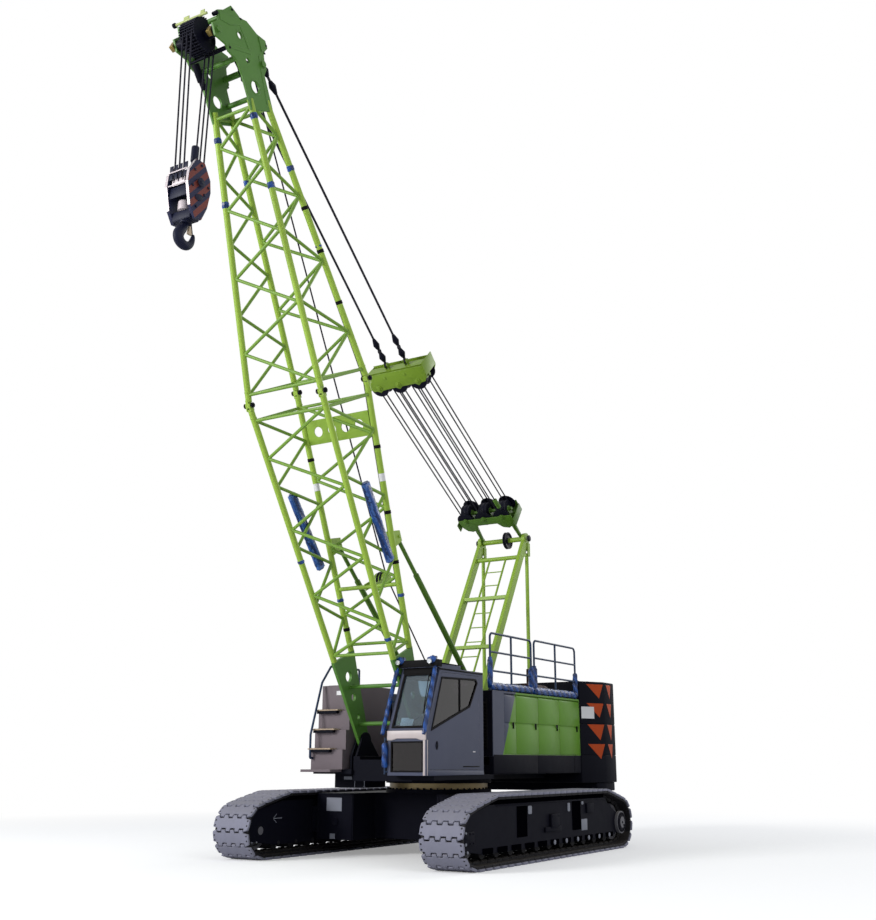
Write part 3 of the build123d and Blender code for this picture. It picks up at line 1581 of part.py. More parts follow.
with BuildPart() as luffing_falls_upper:
    luffing_falls(1)
luffing_falls_upper.part.label = "luffing_falls_upper"
export_step(luffing_falls_upper.part, "parts/luffing_falls_upper.step")

with BuildPart() as luffing_falls_lower:
    luffing_falls(-1)
luffing_falls_lower.part.label = "luffing_falls_lower"
export_step(luffing_falls_lower.part, "parts/luffing_falls_lower.step")


def spreader_sheaves(axle):
    for group in (-1, 0, 1):
        centre = group * spreader_group_pitch
        disc(axle.Y, axle.Z, spreader_sheave_radius, centre - spreader_sheave_width / 2, centre + spreader_sheave_width / 2)
        disc(axle.Y, axle.Z, spreader_axle_radius + pin_gap, centre - 200, centre + 200, mode=Mode.SUBTRACT)


with BuildPart() as upper_sheaves:
    spreader_sheaves(upper_axle)
upper_sheaves.part.label = "upper_sheaves"
export_step(upper_sheaves.part, "parts/upper_sheaves.step")

with BuildPart() as lower_sheaves:
    spreader_sheaves(lower_axle)
lower_sheaves.part.label = "lower_sheaves"
export_step(lower_sheaves.part, "parts/lower_sheaves.step")

# ---------------------------------------------------------------- back-stops
stop_foot = Vector(0, backstop_foot_y, backstop_foot_z)
stop_eye = boom_point(backstop_t, backstop_n, 0)
stop_dir = (stop_eye - stop_foot).normalized()
with BuildPart() as backstop_barrels:
    for side in (-1, 1):
        shift = Vector(side * backstop_half, 0, 0)
        start = stop_foot + shift + stop_dir * (backstop_pin_radius + 10)
        end = stop_foot + shift + stop_dir * backstop_barrel
        add(bar_solid(start, end, backstop_radius))
        add(bar_solid(start + stop_dir * 200, end, backstop_bore), mode=Mode.SUBTRACT)
        x0 = side * backstop_half - backstop_radius
        disc(backstop_foot_y, backstop_foot_z, backstop_radius, x0, x0 + 2 * backstop_radius)
        disc(backstop_foot_y, backstop_foot_z, backstop_pin_radius + pin_gap, x0, x0 + 2 * backstop_radius, mode=Mode.SUBTRACT)
backstop_barrels.part.label = "backstop_barrels"
export_step(backstop_barrels.part, "parts/backstop_barrels.step")

with BuildPart() as backstop_rods:
    for side in (-1, 1):
        shift = Vector(side * backstop_half, 0, 0)
        start = stop_eye + shift - stop_dir * backstop_rod
        add(bar_solid(start, stop_eye + shift, backstop_rod_radius))
        x0 = side * backstop_half - stop_slot_half + fit_gap
        x1 = side * backstop_half + stop_slot_half - fit_gap
        disc(stop_eye.Y, stop_eye.Z, stop_eye_radius, x0, x1)
backstop_rods.part.label = "backstop_rods"
export_step(backstop_rods.part, "parts/backstop_rods.step")
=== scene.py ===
import math

import bpy
from mathutils import Matrix, Vector


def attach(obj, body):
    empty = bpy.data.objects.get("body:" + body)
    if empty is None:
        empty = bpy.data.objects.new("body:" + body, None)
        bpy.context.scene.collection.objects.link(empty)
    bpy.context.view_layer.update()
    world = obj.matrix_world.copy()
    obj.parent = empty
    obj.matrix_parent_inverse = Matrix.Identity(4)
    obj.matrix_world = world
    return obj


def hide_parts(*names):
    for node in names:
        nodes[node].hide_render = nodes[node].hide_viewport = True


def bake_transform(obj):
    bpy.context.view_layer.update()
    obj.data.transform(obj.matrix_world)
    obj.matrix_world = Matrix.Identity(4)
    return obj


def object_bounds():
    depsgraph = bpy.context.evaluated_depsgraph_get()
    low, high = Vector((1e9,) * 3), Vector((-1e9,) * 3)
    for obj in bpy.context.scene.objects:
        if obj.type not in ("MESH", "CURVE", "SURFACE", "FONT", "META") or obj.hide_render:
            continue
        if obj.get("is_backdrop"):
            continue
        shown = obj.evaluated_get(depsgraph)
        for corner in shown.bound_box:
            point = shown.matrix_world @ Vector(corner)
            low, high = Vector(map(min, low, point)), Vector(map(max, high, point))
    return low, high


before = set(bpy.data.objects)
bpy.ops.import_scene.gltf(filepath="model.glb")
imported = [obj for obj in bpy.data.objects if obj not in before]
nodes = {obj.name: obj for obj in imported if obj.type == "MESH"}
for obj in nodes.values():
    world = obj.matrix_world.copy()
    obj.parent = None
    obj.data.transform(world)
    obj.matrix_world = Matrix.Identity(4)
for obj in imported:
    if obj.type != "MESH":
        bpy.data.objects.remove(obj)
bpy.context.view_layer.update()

# ------------------------------------------------------------------ camera
# A standing person's view from the front, on the cab's side of the machine, through a normal lens. It looks up
# at the boom, so the head is seen from below.
bpy.ops.object.camera_add(location=(11.4458, -18.924, 1.6678))
camera = bpy.context.object
camera.rotation_euler = (math.radians(90 + 15.29), 0, math.radians(31.2))
camera.data.lens = 43.16
camera.data.clip_end = 400
bpy.context.scene.camera = camera

# ------------------------------------------------------------------ studio: floor, sky and lamps
# A pale seamless floor that keeps the shadow, a white surround for the lens and for reflections, and large soft
# lamps: one high at the front right of the machine, one broad weak fill on the cab side and one behind.


def hex_colour(code):
    """An sRGB hex colour as linear RGBA."""
    channels = [int(code[i:i + 2], 16) / 255 for i in (1, 3, 5)]
    return [c / 12.92 if c <= 0.04045 else ((c + 0.055) / 1.055) ** 2.4 for c in channels] + [1]


def feed(tree, node, feeds):
    """Drives a node's inputs with sockets, or sets them to values."""
    for key, value in feeds.items():
        if isinstance(value, bpy.types.NodeSocket):
            tree.links.new(value, node.inputs[key])
        else:
            node.inputs[key].default_value = value


def add_node(tree, kind, feeds=None, **settings):
    """One shader node, with its settings and what feeds its inputs."""
    made = tree.nodes.new(kind)
    for key, value in settings.items():
        if hasattr(made, key):
            setattr(made, key, value)
        else:
            made.inputs[key.replace("_", " ")].default_value = value
    feed(tree, made, feeds or {})
    return made


def maths(tree, operation, *feeds, **settings):
    """The result of one sum on sockets and numbers."""
    return add_node(tree, "ShaderNodeMath", dict(enumerate(feeds)), operation=operation, **settings).outputs[0]


white, pure = hex_colour("#F4F4F4"), (1, 1, 1, 1)
world = bpy.data.worlds.new("studio_surround")
bpy.context.scene.world = world
world.use_nodes = True
sky = world.node_tree
sky.nodes.clear()
ray = add_node(sky, "ShaderNodeLightPath").outputs
seen = maths(sky, "ADD", ray["Is Camera Ray"], ray["Is Glossy Ray"])
seen = maths(sky, "ADD", seen, ray["Is Transmission Ray"], use_clamp=True)
soft = add_node(sky, "ShaderNodeBackground", Color=hex_colour("#EEF2F8"), Strength=0.45)
clear = add_node(sky, "ShaderNodeBackground", Color=pure, Strength=1.0)
both = add_node(sky, "ShaderNodeMixShader", {0: seen, 1: soft.outputs[0], 2: clear.outputs[0]})
add_node(sky, "ShaderNodeOutputWorld", {"Surface": both.outputs[0]})

bpy.ops.object.select_all(action="DESELECT")
bpy.ops.mesh.primitive_plane_add(size=240, location=(0, 0, -0.002))
floor = bpy.context.object
floor.name = "studio_floor"
floor_paint = bpy.data.materials.new("floor_pale_seamless")
floor_paint.use_nodes = True
tree = floor_paint.node_tree
tree.nodes.clear()
ray = add_node(tree, "ShaderNodeLightPath").outputs
matt = add_node(tree, "ShaderNodeBsdfDiffuse", Color=white)
glow = add_node(tree, "ShaderNodeEmission", Color=pure, Strength=0.28)
lit = add_node(tree, "ShaderNodeAddShader", {0: matt.outputs[0], 1: glow.outputs[0]})
# beyond the shadow, from 11 m to 20 m out, the lens sees the floor turn into the white surround
place = add_node(tree, "ShaderNodeTexCoord").outputs["Object"]
away = add_node(tree, "ShaderNodeVectorMath", {0: place}, operation="LENGTH").outputs["Value"]
fade = add_node(tree, "ShaderNodeMapRange", {"Value": away}, From_Min=11.0, From_Max=20.0).outputs[0]
bright = add_node(tree, "ShaderNodeEmission", Color=pure, Strength=1.0)
seamless = add_node(tree, "ShaderNodeMixShader", {0: fade, 1: lit.outputs[0], 2: bright.outputs[0]})
plain = add_node(tree, "ShaderNodeMixShader", {0: ray["Is Camera Ray"], 1: matt.outputs[0], 2: seamless.outputs[0]})
add_node(tree, "ShaderNodeOutputMaterial", {"Surface": plain.outputs[0]})
floor.data.materials.append(floor_paint)
floor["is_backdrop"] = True

for name, place, size, power, aim in (
    ("key_lamp", (-14, -28, 13), 10, 6600, (0, -1, 4)),
    ("fill_lamp", (24, -12, 13), 16, 1300, (0, 0, 3)),
    ("back_lamp", (8, 26, 20), 16, 2200, (0, 0, 5)),
):
    bpy.ops.object.light_add(type="AREA", location=place)
    lamp = bpy.context.object
    lamp.name = name
    lamp.data.size = size
    lamp.data.energy = power
    lamp.rotation_euler = (Vector(aim) - Vector(place)).to_track_quat("-Z", "Y").to_euler()

bpy.context.scene.view_settings.view_transform = "Standard"

# ------------------------------------------------------------------ finishes shared by the steelwork
# Two-pack enamel sprayed over welded steel: fairly glossy, a little uneven where it was laid on, with dust on what
# faces up and the coat worn to a paler line along edges.


def ranged(tree, value, **limits):
    """A socket mapped from one range to another."""
    return add_node(tree, "ShaderNodeMapRange", {"Value": value}, **limits).outputs[0]


def mixed(tree, share, first, second):
    """Two colours mixed by a socket."""
    return add_node(tree, "ShaderNodeMix", {0: share, 6: first, 7: second}, data_type="RGBA").outputs[2]


def enamel(
    name, code, rough=0.4, dust=0.25, worn="#9A9C8C", wear=0.5, metal=0.0, shine=0.5, second=None, where_second=None
):
    """Sprayed enamel with its dust and worn edges. A second colour can go where a function of the place says."""
    paint = bpy.data.materials.new(name)
    paint.use_nodes = True
    tree = paint.node_tree
    where = add_node(tree, "ShaderNodeTexCoord").outputs
    place = where["Object"]
    # shade drifts over about 0.8 m
    drift = add_node(tree, "ShaderNodeTexNoise", {"Vector": place}, Scale=1.3, Detail=4.0, Roughness=0.6)
    tone = ranged(tree, drift.outputs["Fac"], To_Min=0.84, To_Max=1.12)
    base = hex_colour(code)
    if second:
        base = mixed(tree, where_second(tree, place), base, hex_colour(second))
    coat = add_node(tree, "ShaderNodeHueSaturation", {"Value": tone, "Color": base}).outputs[0]
    # dust settles in patches of 0.2 m on what faces up
    patch = add_node(tree, "ShaderNodeTexNoise", {"Vector": place}, Scale=5.0, Detail=6.0, Roughness=0.65)
    patch = patch.outputs["Fac"]
    facing = add_node(tree, "ShaderNodeSeparateXYZ", {0: where["Normal"]}).outputs["Z"]
    level = ranged(tree, facing, From_Min=0.2, To_Min=0.18, To_Max=1.0)
    settled = maths(tree, "MULTIPLY", maths(tree, "MULTIPLY", patch, level), dust)
    dusty = mixed(tree, settled, coat, hex_colour("#A59C8B"))
    # rubbed edges: where the rounded normal leaves the flat one
    rounded = add_node(tree, "ShaderNodeBevel", samples=4, Radius=0.012).outputs[0]
    flat = add_node(tree, "ShaderNodeNewGeometry").outputs["Normal"]
    match = add_node(tree, "ShaderNodeVectorMath", {0: rounded, 1: flat}, operation="DOT_PRODUCT").outputs["Value"]
    edge = ranged(tree, match, From_Min=0.97, From_Max=0.8)
    chips = add_node(tree, "ShaderNodeTexNoise", {"Vector": place}, Scale=22.0, Detail=5.0, Roughness=0.7)
    chipped = ranged(tree, chips.outputs["Fac"], From_Min=0.45, From_Max=0.62, To_Max=wear)
    final = mixed(tree, maths(tree, "MULTIPLY", edge, chipped), dusty, hex_colour(worn))
    # orange peel of about 5 mm, on the rounded normal
    peel = add_node(tree, "ShaderNodeTexNoise", {"Vector": place}, Scale=180.0, Detail=2.0).outputs["Fac"]
    skin = add_node(tree, "ShaderNodeBump", {"Height": peel, "Normal": rounded}, Strength=0.05, Distance=0.002)
    feed(tree, tree.nodes["Principled BSDF"], {
        "Base Color": final,
        "Roughness": ranged(tree, patch, To_Min=rough - 0.1, To_Max=rough + 0.14),
        "Normal": skin.outputs[0],
        "Metallic": metal,
        "Specular IOR Level": shine,
    })
    return paint


def dress(material, *names):
    """Gives CAD nodes their finish."""
    for name in names:
        mesh = nodes[name].data
        mesh.materials.clear()
        mesh.materials.append(material)


lime_enamel = enamel("enamel_lime", "#86A834", shine=0.3, dust=0.1)
dark_green_enamel = enamel("enamel_dark_green", "#4B7A2C", shine=0.25, dust=0.08)
navy_enamel = enamel("enamel_navy_black", "#0B0D18", rough=0.5, dust=0.05, worn="#2A2C38", shine=0.04)
grey_enamel = enamel("enamel_slate_grey", "#2C2F3E", rough=0.45, dust=0.1, shine=0.15)
blue_enamel = enamel("enamel_blue", "#2457A0")
cast_steel = enamel("cast_steel_grey", "#5E5E66", rough=0.62, dust=0.5, worn="#A3A3A8", metal=0.3)
wire_rope = enamel("wire_rope_greased", "#22222C", rough=0.6, dust=0.05, metal=0.2, shine=0.1)
doors = [f"side_door_{number}" for number in (1, 2, 3, 4)] + ["pump_door_1", "pump_door_2"]
dress(lime_enamel, "boom_brackets", "gantry_front", "gantry_rear", *doors)
dress(dark_green_enamel, "boom_head_plates", "boom_foot_plates")
dress(navy_enamel, "counterweight", "upper_frame")
dress(grey_enamel, "winch_frames", "main_drum", "luff_drum", "engine_block")
dress(blue_enamel, "wrapped_struts")
dress(cast_steel, "track_left", "track_right", "front_idlers", "drive_sprockets", "section_pins", "block_sheaves")
dress(wire_rope, "hoist_rope", "hook_falls", "luffing_falls_upper", "luffing_falls_lower", "pendants")

# ------------------------------------------------------------------ glazing
# Tempered sheet, clear, hard and glossy. Its faint grey-blue tint is a painted reflection of the sky, and the door's
# window and the low front pane are tinted dark brown, painted shade of the cab's interior behind them.


def glazing(name, tint, low_tint, sheen):
    """Clear sheet whose tint paints light: one tint above the windscreen's foot and another, painted shade, below it;
    as glossy as it is given.
    """
    windscreen_foot = 2.05
    sheet = bpy.data.materials.new(name)
    sheet.use_nodes = True
    tree = sheet.node_tree
    place = add_node(tree, "ShaderNodeTexCoord").outputs["Object"]
    smear = add_node(tree, "ShaderNodeTexNoise", {"Vector": place}, Scale=9.0, Detail=4.0).outputs["Fac"]
    height = add_node(tree, "ShaderNodeSeparateXYZ", {0: place}).outputs["Z"]
    # below the windscreen's foot the glass takes the dark tint: painted shade of the cab's interior
    low = maths(tree, "LESS_THAN", height, windscreen_foot)
    feed(tree, tree.nodes["Principled BSDF"], {
        "Base Color": mixed(tree, low, hex_colour(tint), hex_colour(low_tint)),
        "Roughness": ranged(tree, smear, To_Min=0.0, To_Max=0.03),
        "Transmission Weight": 0.92,
        "IOR": 1.5,
        "Specular IOR Level": sheen,
    })
    return sheet


# the windscreen's pale blue paints the sky's reflection; the door's glass is dark all over as painted shade of the
# cab's interior
dress(glazing("glass_clear_painted_sky_reflection", "#A9BECB", "#3A2A2E", 0.25), "cab_glazing")
dress(glazing("glass_painted_interior_shade", "#2E2226", "#2E2226", 0.04), "cab_door_glass")

# ------------------------------------------------------------------ crawler shoes and chains
# Each crawler is a belt of cast steel pads bolted to a roller chain. Tabs on a pad's long edges reach into notches
# in the next pad, its ends are chamfered, and sand and concrete have worn the castings to a pale dry grey.


def alone(*pieces):
    """Leaves edit mode and selects these pieces and nothing else, the first of them active."""
    if bpy.context.mode != "OBJECT":
        bpy.ops.object.mode_set(mode="OBJECT")
    bpy.ops.object.select_all(action="DESELECT")
    for piece in pieces:
        piece.select_set(True)
    if pieces:
        bpy.context.view_layer.objects.active = pieces[0]


def settle(piece, name, finish, body, edge=0.004, rounds=2):
    """Puts a piece's place in its mesh, rounds its edges, and gives it its name, finish and body."""
    alone(piece)
    bpy.ops.object.transform_apply(location=True, rotation=True, scale=True)
    if edge:
        soft = piece.modifiers.new("rounded_edges", "BEVEL")
        soft.width = edge
        soft.segments = rounds
        soft.angle_limit = math.radians(35)
        bpy.ops.object.modifier_apply(modifier=soft.name)
    bpy.ops.object.shade_smooth_by_angle(angle=math.radians(35))
    piece.name = name
    piece.data.name = name
    piece.data.materials.clear()
    piece.data.materials.append(finish)
    if body:
        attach(piece, body)
    return piece


def slab(low, high):
    """A block between two corners."""
    alone()
    middle = [(a + b) / 2 for a, b in zip(low, high)]
    bpy.ops.mesh.primitive_cube_add(size=1, location=middle, scale=[b - a for a, b in zip(low, high)])
    bpy.ops.object.transform_apply()
    return bpy.context.object


def round_bar(start, end, radius, sides=20):
    """A round bar from one point to another."""
    start, end = Vector(start), Vector(end)
    turn = (end - start).to_track_quat("Z", "Y").to_euler()
    alone()
    bpy.ops.mesh.primitive_cylinder_add(
        vertices=sides, radius=radius, depth=(end - start).length, location=(start + end) / 2, rotation=turn
    )
    bpy.ops.object.transform_apply()
    return bpy.context.object


def choose(piece, kind, test):
    """Opens a piece in edit mode with only those vertices, edges or faces selected that pass a test of their middle."""
    alone(piece)
    bpy.ops.object.mode_set(mode="EDIT")
    bpy.ops.mesh.select_mode(type=kind)
    bpy.ops.mesh.select_all(action="DESELECT")
    bpy.ops.object.mode_set(mode="OBJECT")
    mesh = piece.data
    parts = {"VERT": mesh.vertices, "EDGE": mesh.edges, "FACE": mesh.polygons}[kind]
    for part in parts:
        corners = [part.co] if kind == "VERT" else [mesh.vertices[i].co for i in part.vertices]
        part.select = test(sum(corners, Vector()) / len(corners))
    bpy.ops.object.mode_set(mode="EDIT")


def drawn(move):
    """Draws what is chosen out of its mesh by a vector."""
    bpy.ops.mesh.extrude_region_move(TRANSFORM_OT_translate={"value": tuple(move)})


def moved(move):
    """Moves what is chosen by a vector."""
    bpy.ops.transform.translate(value=tuple(move))


def inset(width, depth=0):
    """Insets the chosen faces by a width, and sinks or raises them by a depth."""
    bpy.ops.mesh.inset(thickness=width, depth=depth)


def let_in(piece, test, width, depth):
    """Insets the faces of a piece that pass a test, and leaves edit mode."""
    choose(piece, "FACE", test)
    inset(width, depth)
    alone(piece)


def facing_out(piece):
    """Turns every face of a piece outwards."""
    choose(piece, "FACE", lambda m: True)
    bpy.ops.mesh.normals_make_consistent(inside=False)
    alone(piece)


def joined(pieces):
    """Several meshes as one."""
    alone(*pieces)
    bpy.ops.object.join()
    return bpy.context.object


def copied(master, place):
    """A copy of a piece with a mesh of its own, moved by a matrix."""
    alone()
    twin = master.copy()
    twin.data = master.data.copy()
    twin.data.transform(place)
    bpy.context.collection.objects.link(twin)
    return twin


def removed(*masters):
    """Deletes the pieces that were only there to be copied."""
    alone(*masters)
    bpy.ops.object.delete()


# sand-cast steel: the pads dry and pale on the worn face, the chain dark with oil
shoe_casting = enamel(
    "cast_steel_shoe_worn", "#7E7F90", rough=0.7, dust=0.3, worn="#B6B7C6", wear=0.9, metal=0.2, shine=0.2
)
chain_casting = enamel("cast_steel_chain_oily", "#1A1A20", rough=0.6, dust=0.2, worn="#55565E", metal=0.2, shine=0.1)

shoe_width = 0.8
shoe_thick = 0.042
shoe_tab = 0.058
shoe_body = 0.178
shoe_pitch = 0.25
link_depth = 0.15
crawler_x = 2.14
drive_y, drive_z = 3.01, 0.49
loop_axle = Vector((drive_y, drive_z))
loop_top = (2.3, 1.15)

# one pad: a grid of eight strips, a tapering tab drawn out of every other one at each long edge, then thickness
alone()
bpy.ops.mesh.primitive_grid_add(x_subdivisions=8, y_subdivisions=1, size=1)
shoe = bpy.context.object
shoe.scale = (shoe_width, shoe_body, 1)
bpy.ops.object.transform_apply()
strip = shoe_width / 8
for side in (1, -1):
    for number in range(4):
        middle = (number * 2 - 3 - side / 2) * strip
        choose(shoe, "EDGE", lambda m: side * m.y > shoe_body * 0.49 and abs(m.x - middle) < strip / 4)
        drawn((0, side * shoe_tab, 0))
        bpy.ops.transform.resize(value=(0.8, 1, 1), center_override=(middle, 0, 0))
choose(shoe, "VERT", lambda m: abs(m.x) > 0.45 * shoe_width)
bpy.ops.transform.resize(value=(1, 0.8, 1))
alone(shoe)
shoe.modifiers.new("plate", "SOLIDIFY").thickness = shoe_thick
shoe.modifiers["plate"].offset = 1
bpy.ops.object.modifier_apply(modifier="plate")
shoe.modifiers.new("cast_edges", "BEVEL").width = 0.007
shoe.modifiers["cast_edges"].segments = 2
bpy.ops.object.modifier_apply(modifier="cast_edges")
# the links, with the seat plate under the pad and the sunk bolts at its ends
links = [slab((-0.375, -0.118, -0.04), (0.375, 0.118, -0.001))]
for x in (-0.362, 0.362):
    for y in (-0.045, 0.045):
        links.append(round_bar((x, y, shoe_thick - 0.01), (x, y, shoe_thick + 0.0012), 0.017, 8))
for x in (-0.15, 0.15):
    link = slab((x - 0.028, -0.1, 0.012 - link_depth + shoe_thick), (x + 0.028, 0.1, 0.001))
    link.modifiers.new("edges", "BEVEL").width = 0.022
    bpy.ops.object.modifier_apply(modifier="edges")
    links.append(link)
links.append(round_bar((-0.18, 0.119, -0.055), (0.18, 0.119, -0.055), 0.03, 14))
chain = joined(links)

# the seam between pads and chain: ground run, rear bend, slope, top run, slope and front bend
bend = loop_axle.y - shoe_thick
corner = Vector((loop_top[0], loop_top[1] - shoe_thick))
rise, run = corner.y - loop_axle.y, corner.x - loop_axle.x
span = math.hypot(rise, run)
leave = math.atan2(rise, run) - math.acos(bend / span)
slope = math.sqrt(span ** 2 - bend ** 2)
arc = bend * (math.pi / 2 + leave)
tangent = loop_axle + bend * Vector((math.cos(leave), math.sin(leave)))
stages = (2 * loop_axle.x, arc, slope, 2 * corner.x, slope, arc)


def loop_place(length):
    """The point that far along the seam, from the front of the ground run."""
    length %= sum(stages)
    for number, stage in enumerate(stages):
        if length <= stage:
            break
        length -= stage
    to_front = Vector((-1, 1))
    if number == 0:
        return Vector((length - loop_axle.x, shoe_thick))
    if number == 2:
        return tangent.lerp(corner, length / slope)
    if number == 3:
        return Vector((corner.x - length, corner.y))
    if number == 4:
        return (corner * to_front).lerp(tangent * to_front, length / slope)
    start, axle = (-math.pi / 2, loop_axle) if number == 1 else (math.pi - leave, loop_axle * to_front)
    turn = start + length / bend
    return axle + bend * Vector((math.cos(turn), math.sin(turn)))


ground = 2 * loop_axle.x
whole = sum(stages)
for side, label in ((1, "left"), (-1, "right")):
    pads, chains = [], []
    for first, last, count in ((0, ground, 24), (ground, whole, 37)):
        pitch = (last - first) / count
        for number in range(count):
            begin = loop_place(first + number * pitch + 1e-6)
            end = loop_place(first + (number + 1) * pitch - 1e-6)
            ahead = (end - begin).normalized()
            middle = (begin + end) / 2
            turn = Matrix((
                (-1, 0, 0, side * crawler_x),
                (0, ahead.x, ahead.y, middle.x),
                (0, ahead.y, -ahead.x, middle.y),
                (0, 0, 0, 1),
            ))
            stretch = Matrix.Scale((end - begin).length / shoe_pitch, 4, (0, 1, 0))
            pads.append(copied(shoe, turn @ stretch))
            chains.append(copied(chain, turn @ stretch))
    pads = settle(joined(pads), f"shoes_{label}", shoe_casting, "undercarriage", edge=0)
    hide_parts(f"track_{label}")
    settle(joined(chains), f"chain_{label}", chain_casting, "undercarriage", edge=0)
removed(shoe, chain)

# ------------------------------------------------------------------ side frames and drives
# Welded boxes painted nearly black. Bolted to each outer face are a hose cover, roller brackets with pale end caps
# and the final drive's cover, beside two openings; a flat arrow on the inner face points to the front.

# a flat black with no shine or wear: painted shade for the openings, the gap over the track and the frame's foot
painted_shade_black = enamel("unlit_opening_black", "#030306", rough=0.9, dust=0.0, worn="#050508", wear=0.0, shine=0.0)
frame_paint = enamel("enamel_navy_frame", "#0C0D18", rough=0.5, dust=0.04, worn="#2E303C", shine=0.03)
pale_marking = enamel("enamel_pale_marking", "#7F828E", rough=0.5, dust=0.2, worn="#55575F", shine=0.2)
dress(frame_paint, "carbody", "crawler_frame_left", "crawler_frame_right")
dress(chain_casting, "bottom_rollers")

frame_face = 2.43
rollers = [(number / 5 - 1) * 2.5 for number in range(11)]


def hexagon_row(places, axis_x, reach, radius):
    """Hexagon heads standing on a face of a side frame, at (y, z) places."""
    return [round_bar((axis_x, y, z), (axis_x + reach, y, z), radius, 6) for y, z in places]


def sided(side):
    """The matrix that mirrors what stands on the left to the given side."""
    return Matrix.Scale(side, 4, (1, 0, 0))


def mirrored(piece, side):
    """Turns a piece built on the left over to the given side, its faces looking out again."""
    alone(piece)
    if side < 0:
        piece.data.transform(sided(-1))
        facing_out(piece)
    return piece


for side, label in ((1, "left"), (-1, "right")):
    # two openings, each a sunk panel inside a narrow raised rim, in a flat black that paints the shade inside them
    openings = []
    for front, rear, low, high in ((-1.464, -1.08, 0.43, 0.935), (0.775, 1.155, 0.44, 0.955)):
        panel = slab((frame_face, front, low), (frame_face + 0.006, rear, high))
        choose(panel, "FACE", lambda m: m.x > frame_face + 0.005)
        inset(0.014)
        drawn((-0.005, 0, 0))
        openings.append(panel)
    # dust strips close the gap between the side plates and the track's upper run, in the same flat black: painted shade
    # in the gap
    for face in (1.87, 2.405):
        openings.append(slab((face, -2.3, 0.975), (face + 0.012, 2.3, 1.05)))
    # roller brackets along the foot of the plate, one to a roller, also in the flat black of painted shade
    for place in rollers:
        bracket = slab((frame_face, place - 0.17, 0.236), (frame_face + 0.012, place + 0.17, 0.325))
        choose(bracket, "EDGE", lambda m: m.z < 0.24 and abs(abs(m.y - place) - 0.17) < 0.001)
        bpy.ops.mesh.bevel(offset=0.03, segments=2)
        openings.append(bracket)
    openings = mirrored(joined(openings), side)
    settle(openings, f"frame_openings_{label}", painted_shade_black, "undercarriage", edge=0.002)
    # pads and covers in the frame's own paint: shoulder step, idler guard, hose cover on its foot, edge strip
    covers = []
    for low, high in (
        ((frame_face, -3.33, 0.4), (frame_face + 0.02, -2.96, 0.6)),
        ((frame_face, -3.3, 0.5), (frame_face + 0.034, -3.16, 0.58)),
        ((frame_face, -0.2, 0.52), (frame_face + 0.045, 0.14, 0.76)),
        ((frame_face, -0.42, 0.46), (frame_face + 0.03, 0.24, 0.545)),
        ((frame_face, -2.2, 0.955), (frame_face + 0.012, 2.3, 0.98)),
        ((frame_face, 1.4, 0.72), (frame_face + 0.03, 1.72, 0.9)),
    ):
        cover = slab(low, high)
        let_in(cover, lambda m: m.x > high[0] - 0.001, 0.012, 0.004)
        covers.append(cover)
    covers += hexagon_row([(y, z) for y in (-0.16, 0.1) for z in (0.56, 0.72)], frame_face + 0.049, 0.01, 0.013)
    covers += hexagon_row([(y, z) for y in (-3.1, -3.0) for z in (0.43, 0.57)], frame_face + 0.024, 0.012, 0.016)
    # final drive: stepped cover, bolts round it and a plug in its middle
    hub = round_bar((frame_face + 0.0605, drive_y, drive_z), (frame_face + 0.075, drive_y, drive_z), 0.19, 48)
    choose(hub, "FACE", lambda m: m.x > frame_face + 0.074)
    inset(0.04, -0.006)
    inset(0.05, 0.012)
    covers.append(hub)
    bolt_circle = 0.165
    turns = [number * math.pi / 8 for number in range(16)]
    ring = [(drive_y + bolt_circle * math.sin(turn), drive_z + bolt_circle * math.cos(turn)) for turn in turns]
    covers += hexagon_row(ring, frame_face + 0.073, 0.012, 0.013)
    covers += hexagon_row([(drive_y, drive_z), (drive_y + 0.06, drive_z - 0.06)], frame_face + 0.08, 0.014, 0.024)
    covers = mirrored(joined(covers), side)
    settle(covers, f"frame_covers_{label}", frame_paint, "undercarriage", edge=0.004)
    # pale pieces: roller end caps, lugs, bare plate and the idler's bolts
    pale = []
    for place in rollers[5:]:
        cap = round_bar((frame_face + 0.011, place - 0.03, 0.276), (frame_face + 0.022, place - 0.03, 0.276), 0.042, 20)
        let_in(cap, lambda m: m.x > frame_face + 0.021, 0.014, 0.004)
        pale.append(cap)
    for low, high in (((-1.04, 0.79), (-0.9, 0.93)), ((0.575, 0.78), (0.68, 0.93)), ((1.2, 0.88), (1.29, 0.94))):
        lug = slab((frame_face, low[0], low[1]), (frame_face + 0.008, high[0], high[1]))
        choose(lug, "EDGE", lambda m: abs(m.x - frame_face - 0.004) < 0.001)
        bpy.ops.mesh.bevel(offset=0.025, segments=3)
        pale.append(lug)
    plate = slab((frame_face, 1.18, 0.415), (frame_face + 0.004, 1.45, 0.62))
    let_in(plate, lambda m: m.x > frame_face + 0.003, 0.01, -0.001)
    pale.append(plate)
    pale += hexagon_row([(-3.25, 0.585), (-3.25, 0.42), (-3.2, 0.3)], frame_face + 0.02, 0.016, 0.026)
    pale = mirrored(joined(pale), side)
    settle(pale, f"frame_caps_{label}", pale_marking, "undercarriage", edge=0.002)
    # arrow on the inner face
    strokes = [slab((1.8485, -2.68, 0.674), (1.8495, -2.43, 0.69))]
    for rise in (-1, 1):
        stroke = slab((1.8485, -2.68, 0.674), (1.8495, -2.56, 0.69))
        choose(stroke, "VERT", lambda m: m.y > -2.6)
        moved((0, -0.02, rise * 0.075))
        strokes.append(stroke)
    for place in (-3.25, -3.12):
        strokes.append(round_bar((1.849, place, 0.3), (1.835, place, 0.3), 0.018, 6))
    strokes = mirrored(joined(strokes), side)
    settle(strokes, f"frame_arrow_{label}", pale_marking, "undercarriage", edge=0.0005, rounds=1)

